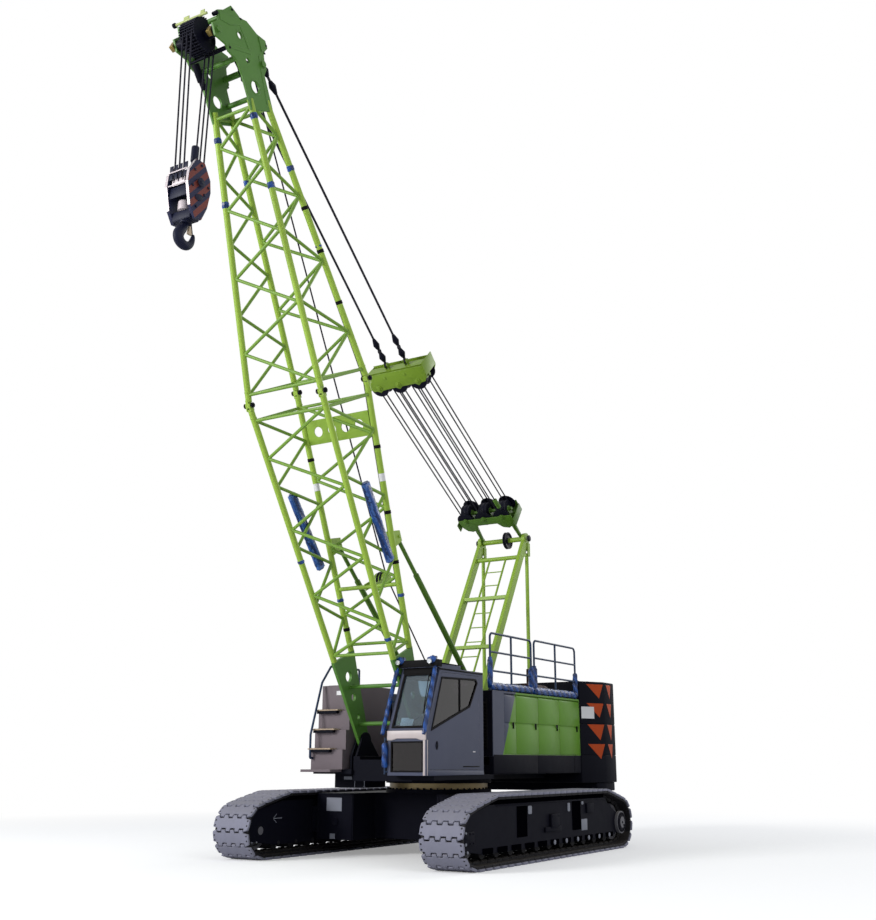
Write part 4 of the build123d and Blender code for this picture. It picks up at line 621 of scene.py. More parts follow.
# ------------------------------------------------------------------ carbody and slewing ring
# One welded casting between the crawlers with a machined ring on it. The ring's rim still carries its yellow-brown
# preserving grease; bolts hold it down all round. Two bare plates sit on the front of the right-hand tongue.

ring_grease = enamel(
    "steel_with_preserving_grease", "#A08C62", rough=0.35, dust=0.1, worn="#D8CDB0", metal=0.3, shine=0.4
)
dress(ring_grease, "slewing_ring")

bolts = []
for number in range(48):
    angle = number * math.pi / 24
    x, y = 0.975 * math.sin(angle), 0.975 * math.cos(angle)
    bolts.append(round_bar((x, y, 1.1705), (x, y, 1.195), 0.017, 6))
settle(joined(bolts), "ring_bolts", frame_paint, "undercarriage", edge=0.002, rounds=1)

plates = []
for low, high in (((-1.505, 0.78), (-1.158, 1.02)), ((-1.42, 0.29), (-1.3, 0.385))):
    plate = slab((low[0], -1.555, low[1]), (high[0], -1.5505, high[1]))
    let_in(plate, lambda m: m.y < -1.5545, 0.012, -0.001)
    plates.append(plate)
settle(joined(plates), "carbody_plates", pale_marking, "undercarriage", edge=0.001, rounds=1)

# ribs and covers on the carbody's front and rear: a frame of flat bar round each tongue, and a lifting eye
ribs = []
for side in (-1, 1):
    for face in (-1, 1):
        y0, y1 = sorted((face * 1.5505, face * 1.562))
        for low, high in (
            ((0.92, 0.285), (0.945, 1.095)), ((1.69, 0.285), (1.715, 1.095)), ((0.92, 1.07), (1.715, 1.095)),
        ):
            x0, x1 = sorted((side * low[0], side * high[0]))
            ribs.append(slab((x0, y0, low[1]), (x1, y1, high[1])))
        eye = round_bar((side * 1.3, face * 1.551, 0.6), (side * 1.3, face * 1.575, 0.6), 0.07, 28)
        let_in(eye, lambda m: abs(m.y) > 1.574, 0.025, -0.012)
        ribs.append(eye)
ribs = joined(ribs)
facing_out(ribs)
settle(ribs, "carbody_ribs", frame_paint, "undercarriage", edge=0.003)

# valve box under the step tank's foot: grease lines down its front and a blank plate
lines = []
for x, y in ((-0.869, -1.556), (-0.655, -1.556), (-0.645, -1.2)):
    lines.append(round_bar((x, y, 1.205), (x, y, 1.43), 0.008, 10))
    for height in (1.22, 1.41):
        lines.append(round_bar((x, y, height), (x, y, height + 0.016), 0.015, 6))
lines.append(slab((-1.12, -1.5535, 1.345), (-0.94, -1.5505, 1.4)))
settle(joined(lines), "valve_box_lines", pale_marking, "upper", edge=0.001, rounds=1)

# ------------------------------------------------------------------ counterweight
# Cast iron blocks stacked on a tray and painted nearly black. Each casting has rounded corners, so a dark seam
# shows between them. The side faces carry the orange triangles of a machine that swings, and a bare plate.

block_paint = enamel("enamel_on_rough_casting_navy", "#0D0E18", rough=0.55, dust=0.04, worn="#24262F", shine=0.05)
signal_film = enamel("reflective_film_orange", "#B24418", rough=0.4, dust=0.05, worn="#7C3A22", wear=0.8, shine=0.15)
plate_white = enamel("enamel_plate_white", "#D9D9DC", rough=0.4, dust=0.3, worn="#8D8D90")

weight_front, weight_rear = 3.4, 4.7
weight_half, corner_half, corner_depth = 1.8, 1.49, 0.6


def casting(low, high, half, front, rear):
    """One block of the stack: its corners cut off like the plan of the stack."""
    piece = slab((-half, front, low), (half, rear, high))
    choose(piece, "EDGE", lambda m: abs(m.z - (low + high) / 2) < 0.001 and m.y > rear - 0.01)
    bpy.ops.mesh.bevel(offset=0.2, segments=4)
    choose(piece, "FACE", lambda m: abs(m.y - front) < 0.001)
    drawn((0, -corner_depth, 0))
    bpy.ops.transform.resize(value=(corner_half / half, 1, 1))
    return piece


stack = []
for low, high in ((1.235, 1.8), (1.8, 2.45), (2.45, 3.345)):
    stack.append(casting(low, high, weight_half, weight_front + corner_depth, weight_rear))
# the slot that the frame's tail fills is cut into the lowest block
tail = slab((-0.65, 3.3, 1.3297), (0.65, 4.151, 1.7607))
cut = stack[0].modifiers.new("tail_slot", "BOOLEAN")
cut.object = tail
cut.solver = "EXACT"
alone(stack[0])
bpy.ops.object.modifier_apply(modifier="tail_slot")
removed(tail)
# the tray under it is set in, and stands far enough back to swing past the crawlers
tray = [casting(1.061, 1.235, 1.76, 4.0, 4.66)]
choose(tray[0], "VERT", lambda m: m.y < 3.41)
moved((0, 0.4, 0))
bpy.ops.transform.resize(value=(1.11, 1, 1))
for piece in stack + tray:
    alone(piece)
    bpy.ops.object.mode_set(mode="EDIT")
    bpy.ops.mesh.select_all(action="SELECT")
    bpy.ops.mesh.remove_doubles()
    bpy.ops.mesh.normals_make_consistent(inside=False)
stack = settle(joined(stack + tray), "counterweight_blocks", block_paint, "upper", edge=0.018, rounds=3)
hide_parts("counterweight")

# lifting bollards along the top, each with its cap
lugs = []
for x in (-1.25, 1.25):
    for y in (3.75, 4.35):
        lugs.append(round_bar((x, y, 3.33), (x, y, 3.375), 0.085))
        lugs.append(round_bar((x, y, 3.37), (x, y, 3.4), 0.05))
settle(joined(lugs), "counterweight_bollards", block_paint, "upper", edge=0.008)


def triangle(width, drop, apex):
    """A thin downward triangle in the XZ plane, its upper left corner at the origin."""
    piece = slab((0, -0.001, -drop), (width, 0.001, 0))
    choose(piece, "VERT", lambda m: m.z < -drop / 2)
    bpy.ops.transform.resize(value=(0, 1, 1), center_override=(apex, 0, 0))
    bpy.ops.mesh.remove_doubles(threshold=0.0001)
    alone(piece)
    return piece


# film triangles, point down, in four rows: on both slanted faces, beyond the corner, and up the rear
slant = Vector((weight_half - corner_half, corner_depth, 0))
marks = []
for side in (-1, 1):
    for low, high in ((2.99, 3.29), (2.585, 2.885), (2.11, 2.44), (1.72, 2.03)):
        mark = triangle(0.47, high - low, 0.35)
        along = math.atan2(slant.y, slant.x)
        turn = Matrix.Translation((side * (corner_half + 0.0008), weight_front - 0.0008, high))
        turn = turn @ sided(side) @ Matrix.Rotation(along, 4, "Z")
        marks.append(copied(mark, turn @ Matrix.Translation((0.185, 0, 0))))
        edge = Matrix.Translation((side * (weight_half + 0.001), 4.12, high)) @ Matrix.Rotation(math.pi / 2, 4, "Z")
        marks.append(copied(mark, edge @ Matrix.Scale(0.55, 4, (1, 0, 0))))
        rear = Matrix.Translation((side * 0.95, weight_rear + 0.001, high)) @ sided(side)
        marks.append(copied(mark, rear))
        removed(mark)
marks = joined(marks)
facing_out(marks)
settle(marks, "swing_triangles", signal_film, "upper", edge=0)

# bare plate beside the housing, with a turned edge
for side in (-1, 1):
    plate = slab((0.03, -0.004, 2.56), (0.38, 0.004, 2.81))
    let_in(plate, lambda m: m.y < -0.0035, 0.012, -0.002)
    turn = Matrix.Translation((side * (corner_half + 0.004), weight_front - 0.003, 0))
    turn = turn @ sided(side) @ Matrix.Rotation(math.atan2(slant.y, slant.x), 4, "Z")
    plate.data.transform(turn)
    facing_out(plate)
    settle(plate, f"rear_plate_{'right' if side < 0 else 'left'}", plate_white, "upper", edge=0.002)

# ------------------------------------------------------------------ housings and their doors
# Folded sheet steel on a frame. Each door has a groove pressed along its middle and its top edge turned in. The
# paint changes from slate to green on a slanting line near the front.


def ahead_of_slant(tree, place):
    """One where a point lies in front of the slanting line on the housing's side."""
    slope, offset = -0.485, 1.022
    split = add_node(tree, "ShaderNodeSeparateXYZ", {0: place}).outputs
    lean = maths(tree, "MULTIPLY_ADD", split["Z"], slope, offset)
    return maths(tree, "LESS_THAN", maths(tree, "ADD", split["Y"], lean), 0.0)


house_enamel = enamel(
    "enamel_green_and_slate", "#5A8A22", rough=0.35, dust=0.04, shine=0.2, second="#42475A", where_second=ahead_of_slant
)
dark_rubber = enamel("rubber_black_moulded", "#07070B", rough=0.6, dust=0.05, worn="#16161A", shine=0.08)
dress(house_enamel, "engine_housing", "pump_housing")

house_half = 1.49
door_low, door_high = 1.8043, 2.906
for side, label, front, rear in (
    (1, "side_door_1", -0.08, 0.41),
    (1, "side_door_2", 0.41, 1.37),
    (1, "side_door_3", 1.37, 2.35),
    (1, "side_door_4", 2.35, 3.33),
    (-1, "pump_door_1", 0.61, 1.97),
    (-1, "pump_door_2", 1.97, 3.33),
):
    leaf = label.replace("door_", "door_body_")
    door = slab((house_half - 0.04, front + 0.004, door_low), (house_half, rear - 0.004, door_high))
    for height in (2.315, 2.345, 2.375, 2.387, 2.855):
        choose(door, "FACE", lambda m: True)
        bpy.ops.mesh.bisect(plane_co=(0, 0, height), plane_no=(0, 0, 1))
    choose(door, "VERT", lambda m: m.x > house_half - 0.001 and 2.34 < m.z < 2.38)
    moved((-0.014, 0, 0))
    choose(door, "VERT", lambda m: m.x > house_half - 0.001 and m.z > 2.9)
    moved((-0.025, 0, 0))
    alone(door)
    if side < 0:
        door.data.transform(sided(-1))
        choose(door, "FACE", lambda m: True)
        bpy.ops.mesh.flip_normals()
    door = settle(door, f"{label}_skin", house_enamel, leaf, edge=0.004)
    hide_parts(label)
    # handle: a cup let into the door near its rear edge, with a bar across it
    latch_y = rear - 0.125
    cup = slab((0, latch_y - 0.032, 2.27), (0.004, latch_y + 0.032, 2.39))
    choose(cup, "FACE", lambda m: m.x > 0.0035)
    inset(0.008, 0)
    drawn((-0.0035, 0, 0))
    alone(cup)
    bar = slab((0.002, latch_y - 0.01, 2.285), (0.016, latch_y + 0.01, 2.375))
    cup = joined([cup, bar])
    cup.data.transform(Matrix.Translation((side * house_half, 0, 0)) @ sided(side))
    facing_out(cup)
    settle(cup, f"{label}_handle", dark_rubber, leaf, edge=0.002)

# skirt plates under the doors, over the frame's sill
for side in (-1, 1):
    skirts = []
    for front, rear in ((-0.52, 1.3), (1.308, 3.0), (3.008, 3.34)):
        skirt = slab((house_half, front, 1.45), (house_half + 0.006, rear, 1.79))
        let_in(skirt, lambda m: m.x > house_half + 0.005, 0.02, -0.003)
        skirts.append(skirt)
    skirts = joined(skirts)
    skirts.data.transform(sided(side))
    facing_out(skirts)
    settle(skirts, f"skirt_{'right' if side < 0 else 'left'}", block_paint, "upper", edge=0.003)

# painted-out front wall of each housing
walls = [slab((side * 0.742, -0.534, 1.765), (side * 1.478, -0.5303, 2.945)) for side in (-1, 1)]
walls = joined(walls)
facing_out(walls)
settle(walls, "housing_front_walls", block_paint, "upper", edge=0.001, rounds=1)

# air grilles in the housings' front walls: slats in a frame
slats = []
for side in (-1, 1):
    for number in range(14):
        height = 1.95 + number * 0.06
        slat = slab((side * 0.9, -0.56, height), (side * 1.36, -0.535, height + 0.012))
        choose(slat, "VERT", lambda m: m.y < -0.55)
        moved((0, 0, -0.03))
        slats.append(slat)
    for edge in (0.88, 1.36):
        slats.append(slab((side * edge, -0.562, 1.9), (side * (edge + 0.02), -0.5303, 2.8)))
slats = joined(slats)
facing_out(slats)
settle(slats, "front_grilles", dark_rubber, "upper", edge=0.002, rounds=1)

# ------------------------------------------------------------------ handrails and their wrapping
# Steel tube, painted blue. For delivery its lower bars and posts are still bound in blue stretch film, wound in
# overlapping turns that pull into creases, with a painted highlight of pale blue along the creases.

rail_enamel = enamel("enamel_steel_blue", "#22344F", rough=0.4, dust=0.05, shine=0.2, worn="#6F7A88")
dress(rail_enamel, "handrails")

stretch_film = bpy.data.materials.new("polyethylene_stretch_film_blue")
stretch_film.use_nodes = True
tree = stretch_film.node_tree
place = add_node(tree, "ShaderNodeTexCoord").outputs["Object"]
# turns of about 60 mm and creases of about 10 mm
turns = add_node(tree, "ShaderNodeTexWave", {"Vector": place}, bands_direction="DIAGONAL", Scale=2.6, Distortion=3.0)
turns = turns.outputs["Fac"]
creases = add_node(tree, "ShaderNodeTexVoronoi", {"Vector": place}, feature="DISTANCE_TO_EDGE", Scale=26.0)
creases = creases.outputs["Distance"]
shade = mixed(tree, turns, hex_colour("#0D2552"), hex_colour("#1D4A92"))
# painted highlight: pale blue mixed into the film along the creases' edges, as a glint
painted_glint = ranged(tree, creases, From_Max=0.03, To_Min=0.2, To_Max=0.0)
ridge = maths(tree, "ADD", creases, turns)
folds = add_node(tree, "ShaderNodeBump", {"Height": ridge}, Strength=0.7, Distance=0.01)
feed(tree, tree.nodes["Principled BSDF"], {
    "Base Color": mixed(tree, painted_glint, shade, hex_colour("#6F95CC")),
    "Normal": folds.outputs[0],
    "Roughness": 0.22,
    "IOR": 1.5,
    "Specular IOR Level": 0.3,
})


def film_round(start, end, radius, seed=1, crumple=0.1):
    """Film wound round a bar: a tube of many rings, drawn in and out unevenly and gathered at its ends."""
    start, end = Vector(start), Vector(end)
    piece = round_bar(start, end, radius, 18)
    middle = (start + end) / 2
    choose(piece, "EDGE", lambda m: (m - middle).length < radius * 1.1)
    bpy.ops.mesh.subdivide(number_cuts=max(3, min(90, int((end - start).length / 0.035))))
    bpy.ops.mesh.select_all(action="SELECT")
    bpy.ops.transform.vertex_random(offset=radius * crumple, uniform=0.3, normal=0.6, seed=seed)
    for tip in (start, end):
        choose(piece, "VERT", lambda m: (m - tip).length < radius * 1.25)
        bpy.ops.transform.resize(value=(0.72, 0.72, 0.72), center_override=tuple(tip))
    alone(piece)
    return piece


rail_x = 1.45
wraps = []
for number, (start, end, radius) in enumerate((
    # the bars along the roof's edge
    ((rail_x, -0.56, 3.03), (rail_x, 1.2, 3.04), 0.068),
    ((rail_x, 1.24, 3.03), (rail_x, 3.3, 3.04), 0.07),
    # posts: the front one, the middle pair bound together, and the rear one
    ((rail_x, -0.54, 3.04), (rail_x, -0.54, 3.56), 0.052),
    ((rail_x, 1.18, 3.04), (rail_x, 1.17, 3.48), 0.06),
    ((rail_x, 1.3, 3.04), (rail_x, 1.31, 3.52), 0.062),
    ((rail_x, 3.28, 3.04), (rail_x, 3.28, 3.5), 0.05),
)):
    wraps.append(film_round(start, end, radius, seed=number + 1))
settle(joined(wraps), "rail_wrapping", stretch_film, "upper", edge=0)

# bare post feet: a flange under each
feet = []
for y in (0.315, 2.295):
    feet.append(slab((rail_x - 0.045, y - 0.045, 2.9505), (rail_x + 0.035, y + 0.045, 2.96)))
settle(joined(feet), "rail_feet", rail_enamel, "upper", edge=0.002)

# ------------------------------------------------------------------ cab
# A welded shell of slate-grey sheet with bonded glass in black rubber. The lower corner pillar and the bar under the
# windscreen are the same slate paint, coloured pale grey as a painted highlight of their lit front faces. Grab handles
# up both front pillars and the lamps are still bound in blue film.

cab_enamel = enamel("enamel_slate_violet", "#42475C", rough=0.35, dust=0.04, shine=0.2, worn="#8C8C94")
# the slate paint as it looks on lit front faces: a painted highlight
lit_slate_enamel = enamel("enamel_slate_painted_highlight", "#B9AEAE", rough=0.35, dust=0.25, worn="#D2CCCC")
interior_trim = enamel("moulded_plastic_dark_maroon", "#2A1A1C", rough=0.6, dust=0.1, worn="#3A2A2C")
seat_cloth = enamel("seat_cloth_sand", "#8F7F5E", rough=0.9, dust=0.1, worn="#A3957A", wear=0.2)
paper = enamel("paper_sheet_white", "#F2F2F2", rough=0.8, dust=0.05, worn="#E0E0E0", wear=0.1)
lamp_glass = enamel("lamp_lens_clear", "#D8DCE0", rough=0.12, dust=0.15, worn="#FFFFFF", wear=0.1)
dress(cab_enamel, "cab_shell", "cab_door")
dress(interior_trim, "cab_console")
dress(seat_cloth, "operator_seat")

cab_left, cab_right = 1.49, 0.722
cab_front, cab_rear = -2.865, -0.9
brow = Vector((0, cab_front, 2.16))
screen_up = Vector((0, 0.455, 1.08)).normalized()
screen_out = Vector((0, -screen_up.z, screen_up.y))


def on_screen(x, up, out):
    """A point of the sloping windscreen: across, up along it from its foot, and out from it."""
    return Vector((x, 0, 0)) + brow + screen_up * up + screen_out * out


def flat_face(corners):
    """One flat face through its corners."""
    alone()
    bpy.ops.mesh.primitive_circle_add(vertices=len(corners), fill_type="NGON")
    face = bpy.context.object
    for vertex, corner in zip(face.data.vertices, corners):
        vertex.co = corner
    return face


def prism(corners, move):
    """A plate: the flat face through its corners, drawn out by a vector."""
    plate = flat_face(corners)
    choose(plate, "FACE", lambda m: True)
    drawn(move)
    facing_out(plate)
    return plate


def frame_ring(corners, width, depth):
    """A closed strip round a flat opening: the face through its corners, inset, hollowed and thickened."""
    ring = flat_face(corners)
    choose(ring, "FACE", lambda m: True)
    bpy.ops.mesh.normals_make_consistent(inside=False)
    inset(width)
    bpy.ops.mesh.delete(type="FACE")
    alone(ring)
    strip = ring.modifiers.new("strip", "SOLIDIFY")
    strip.thickness = depth
    strip.offset = 0
    bpy.ops.object.modifier_apply(modifier="strip")
    return ring


# rubber seals: windscreen, lower glass, rear glass and the slanting side windows
seals = []
left, right = 1.434, 0.788
corners = ((right, 0.055), (left, 0.055), (left, 1.066), (right, 1.066))
seals.append(frame_ring([on_screen(x, up, 0.006) for x, up in corners], 0.036, 0.022))
seals.append(frame_ring(
    [Vector((x, cab_front - 0.004, z)) for x, z in ((right, 1.495), (left, 1.495), (left, 1.995), (right, 1.995))],
    0.026, 0.016,
))
seals.append(frame_ring(
    [Vector((x, cab_rear + 0.004, z)) for x, z in ((right, 2.295), (left, 2.295), (left, 3.095), (right, 3.095))],
    0.03, 0.018,
))
window = ((-2.72, 2.16), (-2.37, 3.08), (-1.16, 3.11), (-1.1, 3.04), (-1.39, 2.6), (-1.76, 2.48))
seals.append(frame_ring([Vector((cab_right - 0.003, y, z)) for y, z in window], 0.03, 0.016))
seals = joined(seals)
facing_out(seals)
settle(seals, "cab_seals", dark_rubber, "upper", edge=0.004)
seal = frame_ring([Vector((cab_left + 0.002, y, z)) for y, z in window], 0.032, 0.014)
divider = slab((cab_left - 0.012, -1.755, 2.5), (cab_left + 0.006, -1.725, 3.08))
settle(joined([seal, divider]), "cab_door_seal", dark_rubber, "cab_door_body", edge=0.003)

# bar under the windscreen, its lower edge bowed up in the middle, and the corner pillar, both in the pale grey painted
# highlight
bar = slab((cab_right - 0.004, cab_front - 0.02, 2.012), (cab_left + 0.002, cab_front + 0.004, 2.17))
choose(bar, "EDGE", lambda m: abs(m.x - (cab_left + cab_right) / 2) < 0.01)
bpy.ops.mesh.subdivide(number_cuts=7)
choose(bar, "VERT", lambda m: m.z < 2.05 and 0.85 < m.x < 1.36)
moved((0, 0, 0.028))
pillar = slab((cab_left - 0.062, cab_front - 0.008, 1.44), (cab_left + 0.001, cab_front + 0.06, 2.02))
choose(pillar, "EDGE", lambda m: abs(m.z - 1.73) < 0.01 and m.x > cab_left and m.y < cab_front)
bpy.ops.mesh.bevel(offset=0.045, segments=5)
alone(pillar)
sill = slab((cab_left - 0.04, cab_front + 0.06, 1.438), (cab_left + 0.012, cab_rear, 1.51))
choose(sill, "VERT", lambda m: m.z > 1.5 and m.x > cab_left)
moved((-0.01, 0, 0))
settle(joined([bar, pillar]), "cab_front_trim", lit_slate_enamel, "upper", edge=0.008, rounds=3)
settle(sill, "cab_sill", cab_enamel, "upper", edge=0.006)

# visor across the roof's front, roof plate behind it and rain channel over the door
header = slab((0.76, -0.006, 0), (1.452, 0.012, 0.115))
turned = (-screen_out).to_track_quat("Y", "Z").to_matrix().to_4x4()
header.data.transform(Matrix.Translation(on_screen(0, 1.066, 0.008)) @ turned)
visor = slab((cab_right - 0.02, -2.5, 3.25), (cab_left + 0.01, -2.36, 3.37))
choose(visor, "VERT", lambda m: m.y < -2.5)
moved((0, -0.03, -0.03))
alone(visor)
roof_plate = slab((cab_right + 0.02, -2.36, 3.303), (cab_left + 0.03, -1.6, 3.318))
choose(roof_plate, "VERT", lambda m: m.y > -1.65)
bpy.ops.transform.resize(value=(0.9, 1, 1))
alone(roof_plate)
channel = slab((cab_left - 0.004, -2.43, 3.2), (cab_left + 0.018, -0.93, 3.222))
knob = round_bar((1.3, -1.3, 3.24), (1.3, -1.3, 3.285), 0.02)
collar = round_bar((1.3, -1.3, 3.24), (1.3, -1.3, 3.25), 0.035)
visor = joined([visor, header, roof_plate, channel, knob, collar])
settle(visor, "cab_visor", dark_rubber, "upper", edge=0.004)

# two work lamps at the visor's ends: a film-bound housing with a lens below it
for number, x in enumerate((0.71, 1.36)):
    case = film_round((x - 0.06, -2.5, 3.36), (x + 0.09, -2.46, 3.38), 0.068, seed=20 + number, crumple=0.16)
    settle(case, f"work_lamp_{number + 1}", stretch_film, "upper", edge=0)
    lens = round_bar((x, -2.571, 3.335), (x, -2.541, 3.34), 0.04, 24)
    let_in(lens, lambda m: m.y < -2.57, 0.008, -0.004)
    settle(lens, f"work_lamp_lens_{number + 1}", lamp_glass, "upper", edge=0.002)

# grab handles up both front pillars: film-bound bars on short stand-offs
grips = []
for number, (x, foot_x) in enumerate(((0.66, 0.66), (1.44, 1.49))):
    low = on_screen(foot_x, -0.08, 0.05)
    high = on_screen(x, 1.15, 0.075)
    grips.append(film_round(low, high, 0.036, seed=30 + number, crumple=0.13))
settle(joined(grips), "grab_handles", stretch_film, "upper", edge=0)
stands = []
for x in (0.69, 1.46):
    for up in (0.03, 0.55, 1.05):
        stands.append(round_bar(on_screen(x, up, -0.02), on_screen(x, up, 0.05), 0.014, 12))
# film-bound mirror arm at the lower right corner, on its rod
stands.append(round_bar((0.69, -2.9, 1.46), (0.69, -2.9, 2.06), 0.014, 12))
for height in (1.5, 2.03):
    stands.append(round_bar((0.69, -2.9, height), (0.73, -2.86, height), 0.014, 12))
settle(joined(stands), "handle_stands", rail_enamel, "upper", edge=0.001, rounds=1)
settle(
    film_round((0.69, -2.9, 1.57), (0.69, -2.9, 1.97), 0.05, seed=44, crumple=0.1),
    "mirror_wrapping", stretch_film, "upper", edge=0,
)

# windscreen wiper: motor cap, arm and blade
wiper = [round_bar(on_screen(1.33, 1.03, 0.0), on_screen(1.33, 1.03, 0.05), 0.026)]
wiper.append(round_bar(on_screen(1.33, 1.03, 0.045), on_screen(1.36, 0.42, 0.03), 0.008, 10))
blade = slab((-0.006, -0.008, -0.3), (0.006, 0.008, 0.3))
turned = screen_up.to_track_quat("Z", "Y").to_matrix().to_4x4()
blade.data.transform(Matrix.Translation(on_screen(1.375, 0.6, 0.028)) @ turned)
wiper.append(blade)
settle(joined(wiper), "wiper", dark_rubber, "upper", edge=0.002, rounds=1)

# on the door: cup with its lever, bare label and a vent strip near the lower rear corner
cup = round_bar((cab_left, -2.523, 1.93), (cab_left + 0.006, -2.523, 1.93), 0.04, 24)
let_in(cup, lambda m: m.x > cab_left + 0.005, 0.01, -0.008)
choose(cup, "FACE", lambda m: True)
bpy.ops.transform.resize(value=(1, 1, 1.75), center_override=(cab_left, -2.523, 1.93))
alone(cup)
lever = slab((cab_left + 0.001, -2.535, 1.885), (cab_left + 0.014, -2.512, 1.975))
strip = slab((cab_left - 0.001, -1.64, 1.572), (cab_left + 0.005, -1.06, 1.592))
settle(joined([cup, lever, strip]), "cab_door_fittings", dark_rubber, "cab_door_body", edge=0.002)
label = slab((cab_left, -1.29, 1.825), (cab_left + 0.0015, -1.2, 1.845))
settle(label, "cab_door_label", plate_white, "cab_door_body", edge=0.0005, rounds=1)

# sheet of paper left behind the windscreen, leaning on it
sheet = slab((0, -0.001, 0), (0.25, 0.001, 0.2))
choose(sheet, "EDGE", lambda m: abs(m.x - 0.125) < 0.01)
bpy.ops.mesh.subdivide(number_cuts=6)
choose(sheet, "VERT", lambda m: m.x > 0.17 and m.z > 0.1)
moved((-0.01, 0.02, -0.015))
alone(sheet)
lean = Matrix.Rotation(-math.atan2(screen_up.y, screen_up.z), 4, "X")
sheet.data.transform(Matrix.Translation(on_screen(0.9, 0.07, -0.06)) @ lean)
settle(sheet, "paper_notice", paper, "upper", edge=0)

# inside: head rest and cushions over the seat, steering levers, roof lining and two wall panels
cushions = []
for low, high in (
    ((0.9, -1.9, 1.92), (1.32, -1.42, 2.02)),
    ((0.92, -1.46, 2.02), (1.3, -1.3, 2.62)),
    ((1.0, -1.42, 2.66), (1.22, -1.32, 2.86)),
):
    pad = slab(low, high)
    choose(pad, "FACE", lambda m: True)
    bpy.ops.mesh.subdivide(number_cuts=3)
    alone(pad)
    pad.modifiers.new("crowned", "SUBSURF").levels = 2
    pad.modifiers["crowned"].render_levels = 2
    bpy.ops.object.modifier_apply(modifier="crowned")
    cushions.append(pad)
settle(joined(cushions), "seat_cushions", seat_cloth, "upper", edge=0)
levers = []
for x in (0.87, 0.95, 1.27, 1.35):
    levers.append(round_bar((x, -2.45, 1.8), (x, -2.5, 2.28), 0.012, 12))
    levers.append(round_bar((x, -2.5, 2.26), (x, -2.508, 2.34), 0.024, 16))
levers.append(slab((0.8, -2.3, 3.12), (1.42, -1.0, 3.19)))
levers.append(slab((0.79, -1.03, 1.5), (1.42, -0.96, 2.28)))
levers.append(slab((1.35, -2.1, 1.5), (1.42, -1.3, 2.02)))
settle(joined(levers), "cab_interior", interior_trim, "upper", edge=0.008)
vest = slab((0.78, -1.45, 2.3), (0.79, -1.1, 2.62))
let_in(vest, lambda m: m.x > 0.785, 0.03, 0.006)
settle(vest, "side_window_vest", signal_film, "upper", edge=0.004)

# ------------------------------------------------------------------ boom
# Welded lattice of round tube: stout chords at the corners, thin bracing between them, all in one green. The chords are
# coloured paler as painted light and the bracing darker as painted shade, and short lengths are still bound in blue
# film where the slings went.

# one green paint in two copies: paler on the chords as painted light, darker on the bracing as painted shade
lit_chord_enamel = enamel("enamel_chords_painted_light", "#8FAF3A", shine=0.35, dust=0.06, worn="#C6D08A", wear=0.3)
shaded_brace_enamel = enamel("enamel_bracing_painted_shade", "#6E9430", shine=0.32, dust=0.06, worn="#B4C070", wear=0.3)
dress(lit_chord_enamel, "boom_base_chords", "boom_head_chords")
dress(shaded_brace_enamel, "boom_base_bracing", "boom_head_bracing")

boom_lean = math.radians(64.8)
boom_up = Vector((0, -math.cos(boom_lean), math.sin(boom_lean)))
boom_under = Vector((0, -math.sin(boom_lean), -math.cos(boom_lean)))
boom_foot = Vector((0, -1.64, 2.04))


def on_boom(t, n, x):
    """A point that far up the boom from its foot pins, that far towards its under side, and that far to the left."""
    return boom_foot + boom_up * t + boom_under * n + Vector((x, 0, 0))


# up the boom: where the foot section's taper starts, the section joint, and where the head section's taper ends
taper_start, joint_t, taper_end = 1.7, 6.5, 11.35


def chord_corner(t, under, left):
    """The centre of a chord at a place up the boom: on the under or upper side, to the left or to the right."""
    if t < joint_t:
        share = (t - taper_start) / (joint_t - taper_start)
        wide, deep = 0.64 + 0.141 * share, 0.29 + 0.421 * share
    else:
        share = (t - joint_t) / (taper_end - joint_t)
        wide, deep = 0.781 - 0.381 * share, 0.711 - 0.476 * share
    return on_boom(t, under * deep, left * wide)


# bands of film on the chords
bands = []
for number, (t, under, left, length) in enumerate((
    (11.18, 1, 1, 0.2), (11.0, 1, -1, 0.18), (10.0, 1, 1, 0.2), (9.92, 1, -1, 0.2), (8.92, -1, 1, 0.1),
    (3.59, 1, -1, 0.14), (2.02, 1, 1, 0.14), (10.3, -1, 1, 0.18), (10.3, -1, -1, 0.18), (2.6, -1, 1, 0.14),
    (2.6, -1, -1, 0.14),
)):
    low, high = chord_corner(t - length / 2, under, left), chord_corner(t + length / 2, under, left)
    bands.append(film_round(low, high, 0.064, seed=50 + number, crumple=0.07))
settle(joined(bands), "boom_film_bands", stretch_film, "boom", edge=0)

# bare labels wrapped on the chords, and clamp blocks of the boom's electric line
labels, clamps = [], []
for left in (1, -1):
    labels.append(round_bar(chord_corner(4.66, -1, left), chord_corner(4.8, -1, left), 0.0565, 24))
settle(joined(labels), "boom_labels", plate_white, "boom", edge=0.0005, rounds=1)
line_share = 0.91
for t, left in ((5.24, -1), (5.28, 1), (2.05, -1), (8.83, 1), (7.9, 1), (9.6, 1), (4.1, 1), (3.2, 1)):
    clamps.append(round_bar(chord_corner(t - 0.03, -1, left), chord_corner(t + 0.03, -1, left), 0.062, 16))
    clamps.append(round_bar(chord_corner(t, -1, left), chord_corner(t, -1, left * line_share), 0.018, 10))
for low, high, radius in ((2.05, 6.45, 0.011), (6.45, 6.56, 0.016), (6.56, 11.2, 0.011)):
    clamps.append(round_bar(chord_corner(low, -1, line_share), chord_corner(high, -1, line_share), radius, 10))
settle(joined(clamps), "boom_cable_clamps", dark_rubber, "boom", edge=0.001, rounds=1)

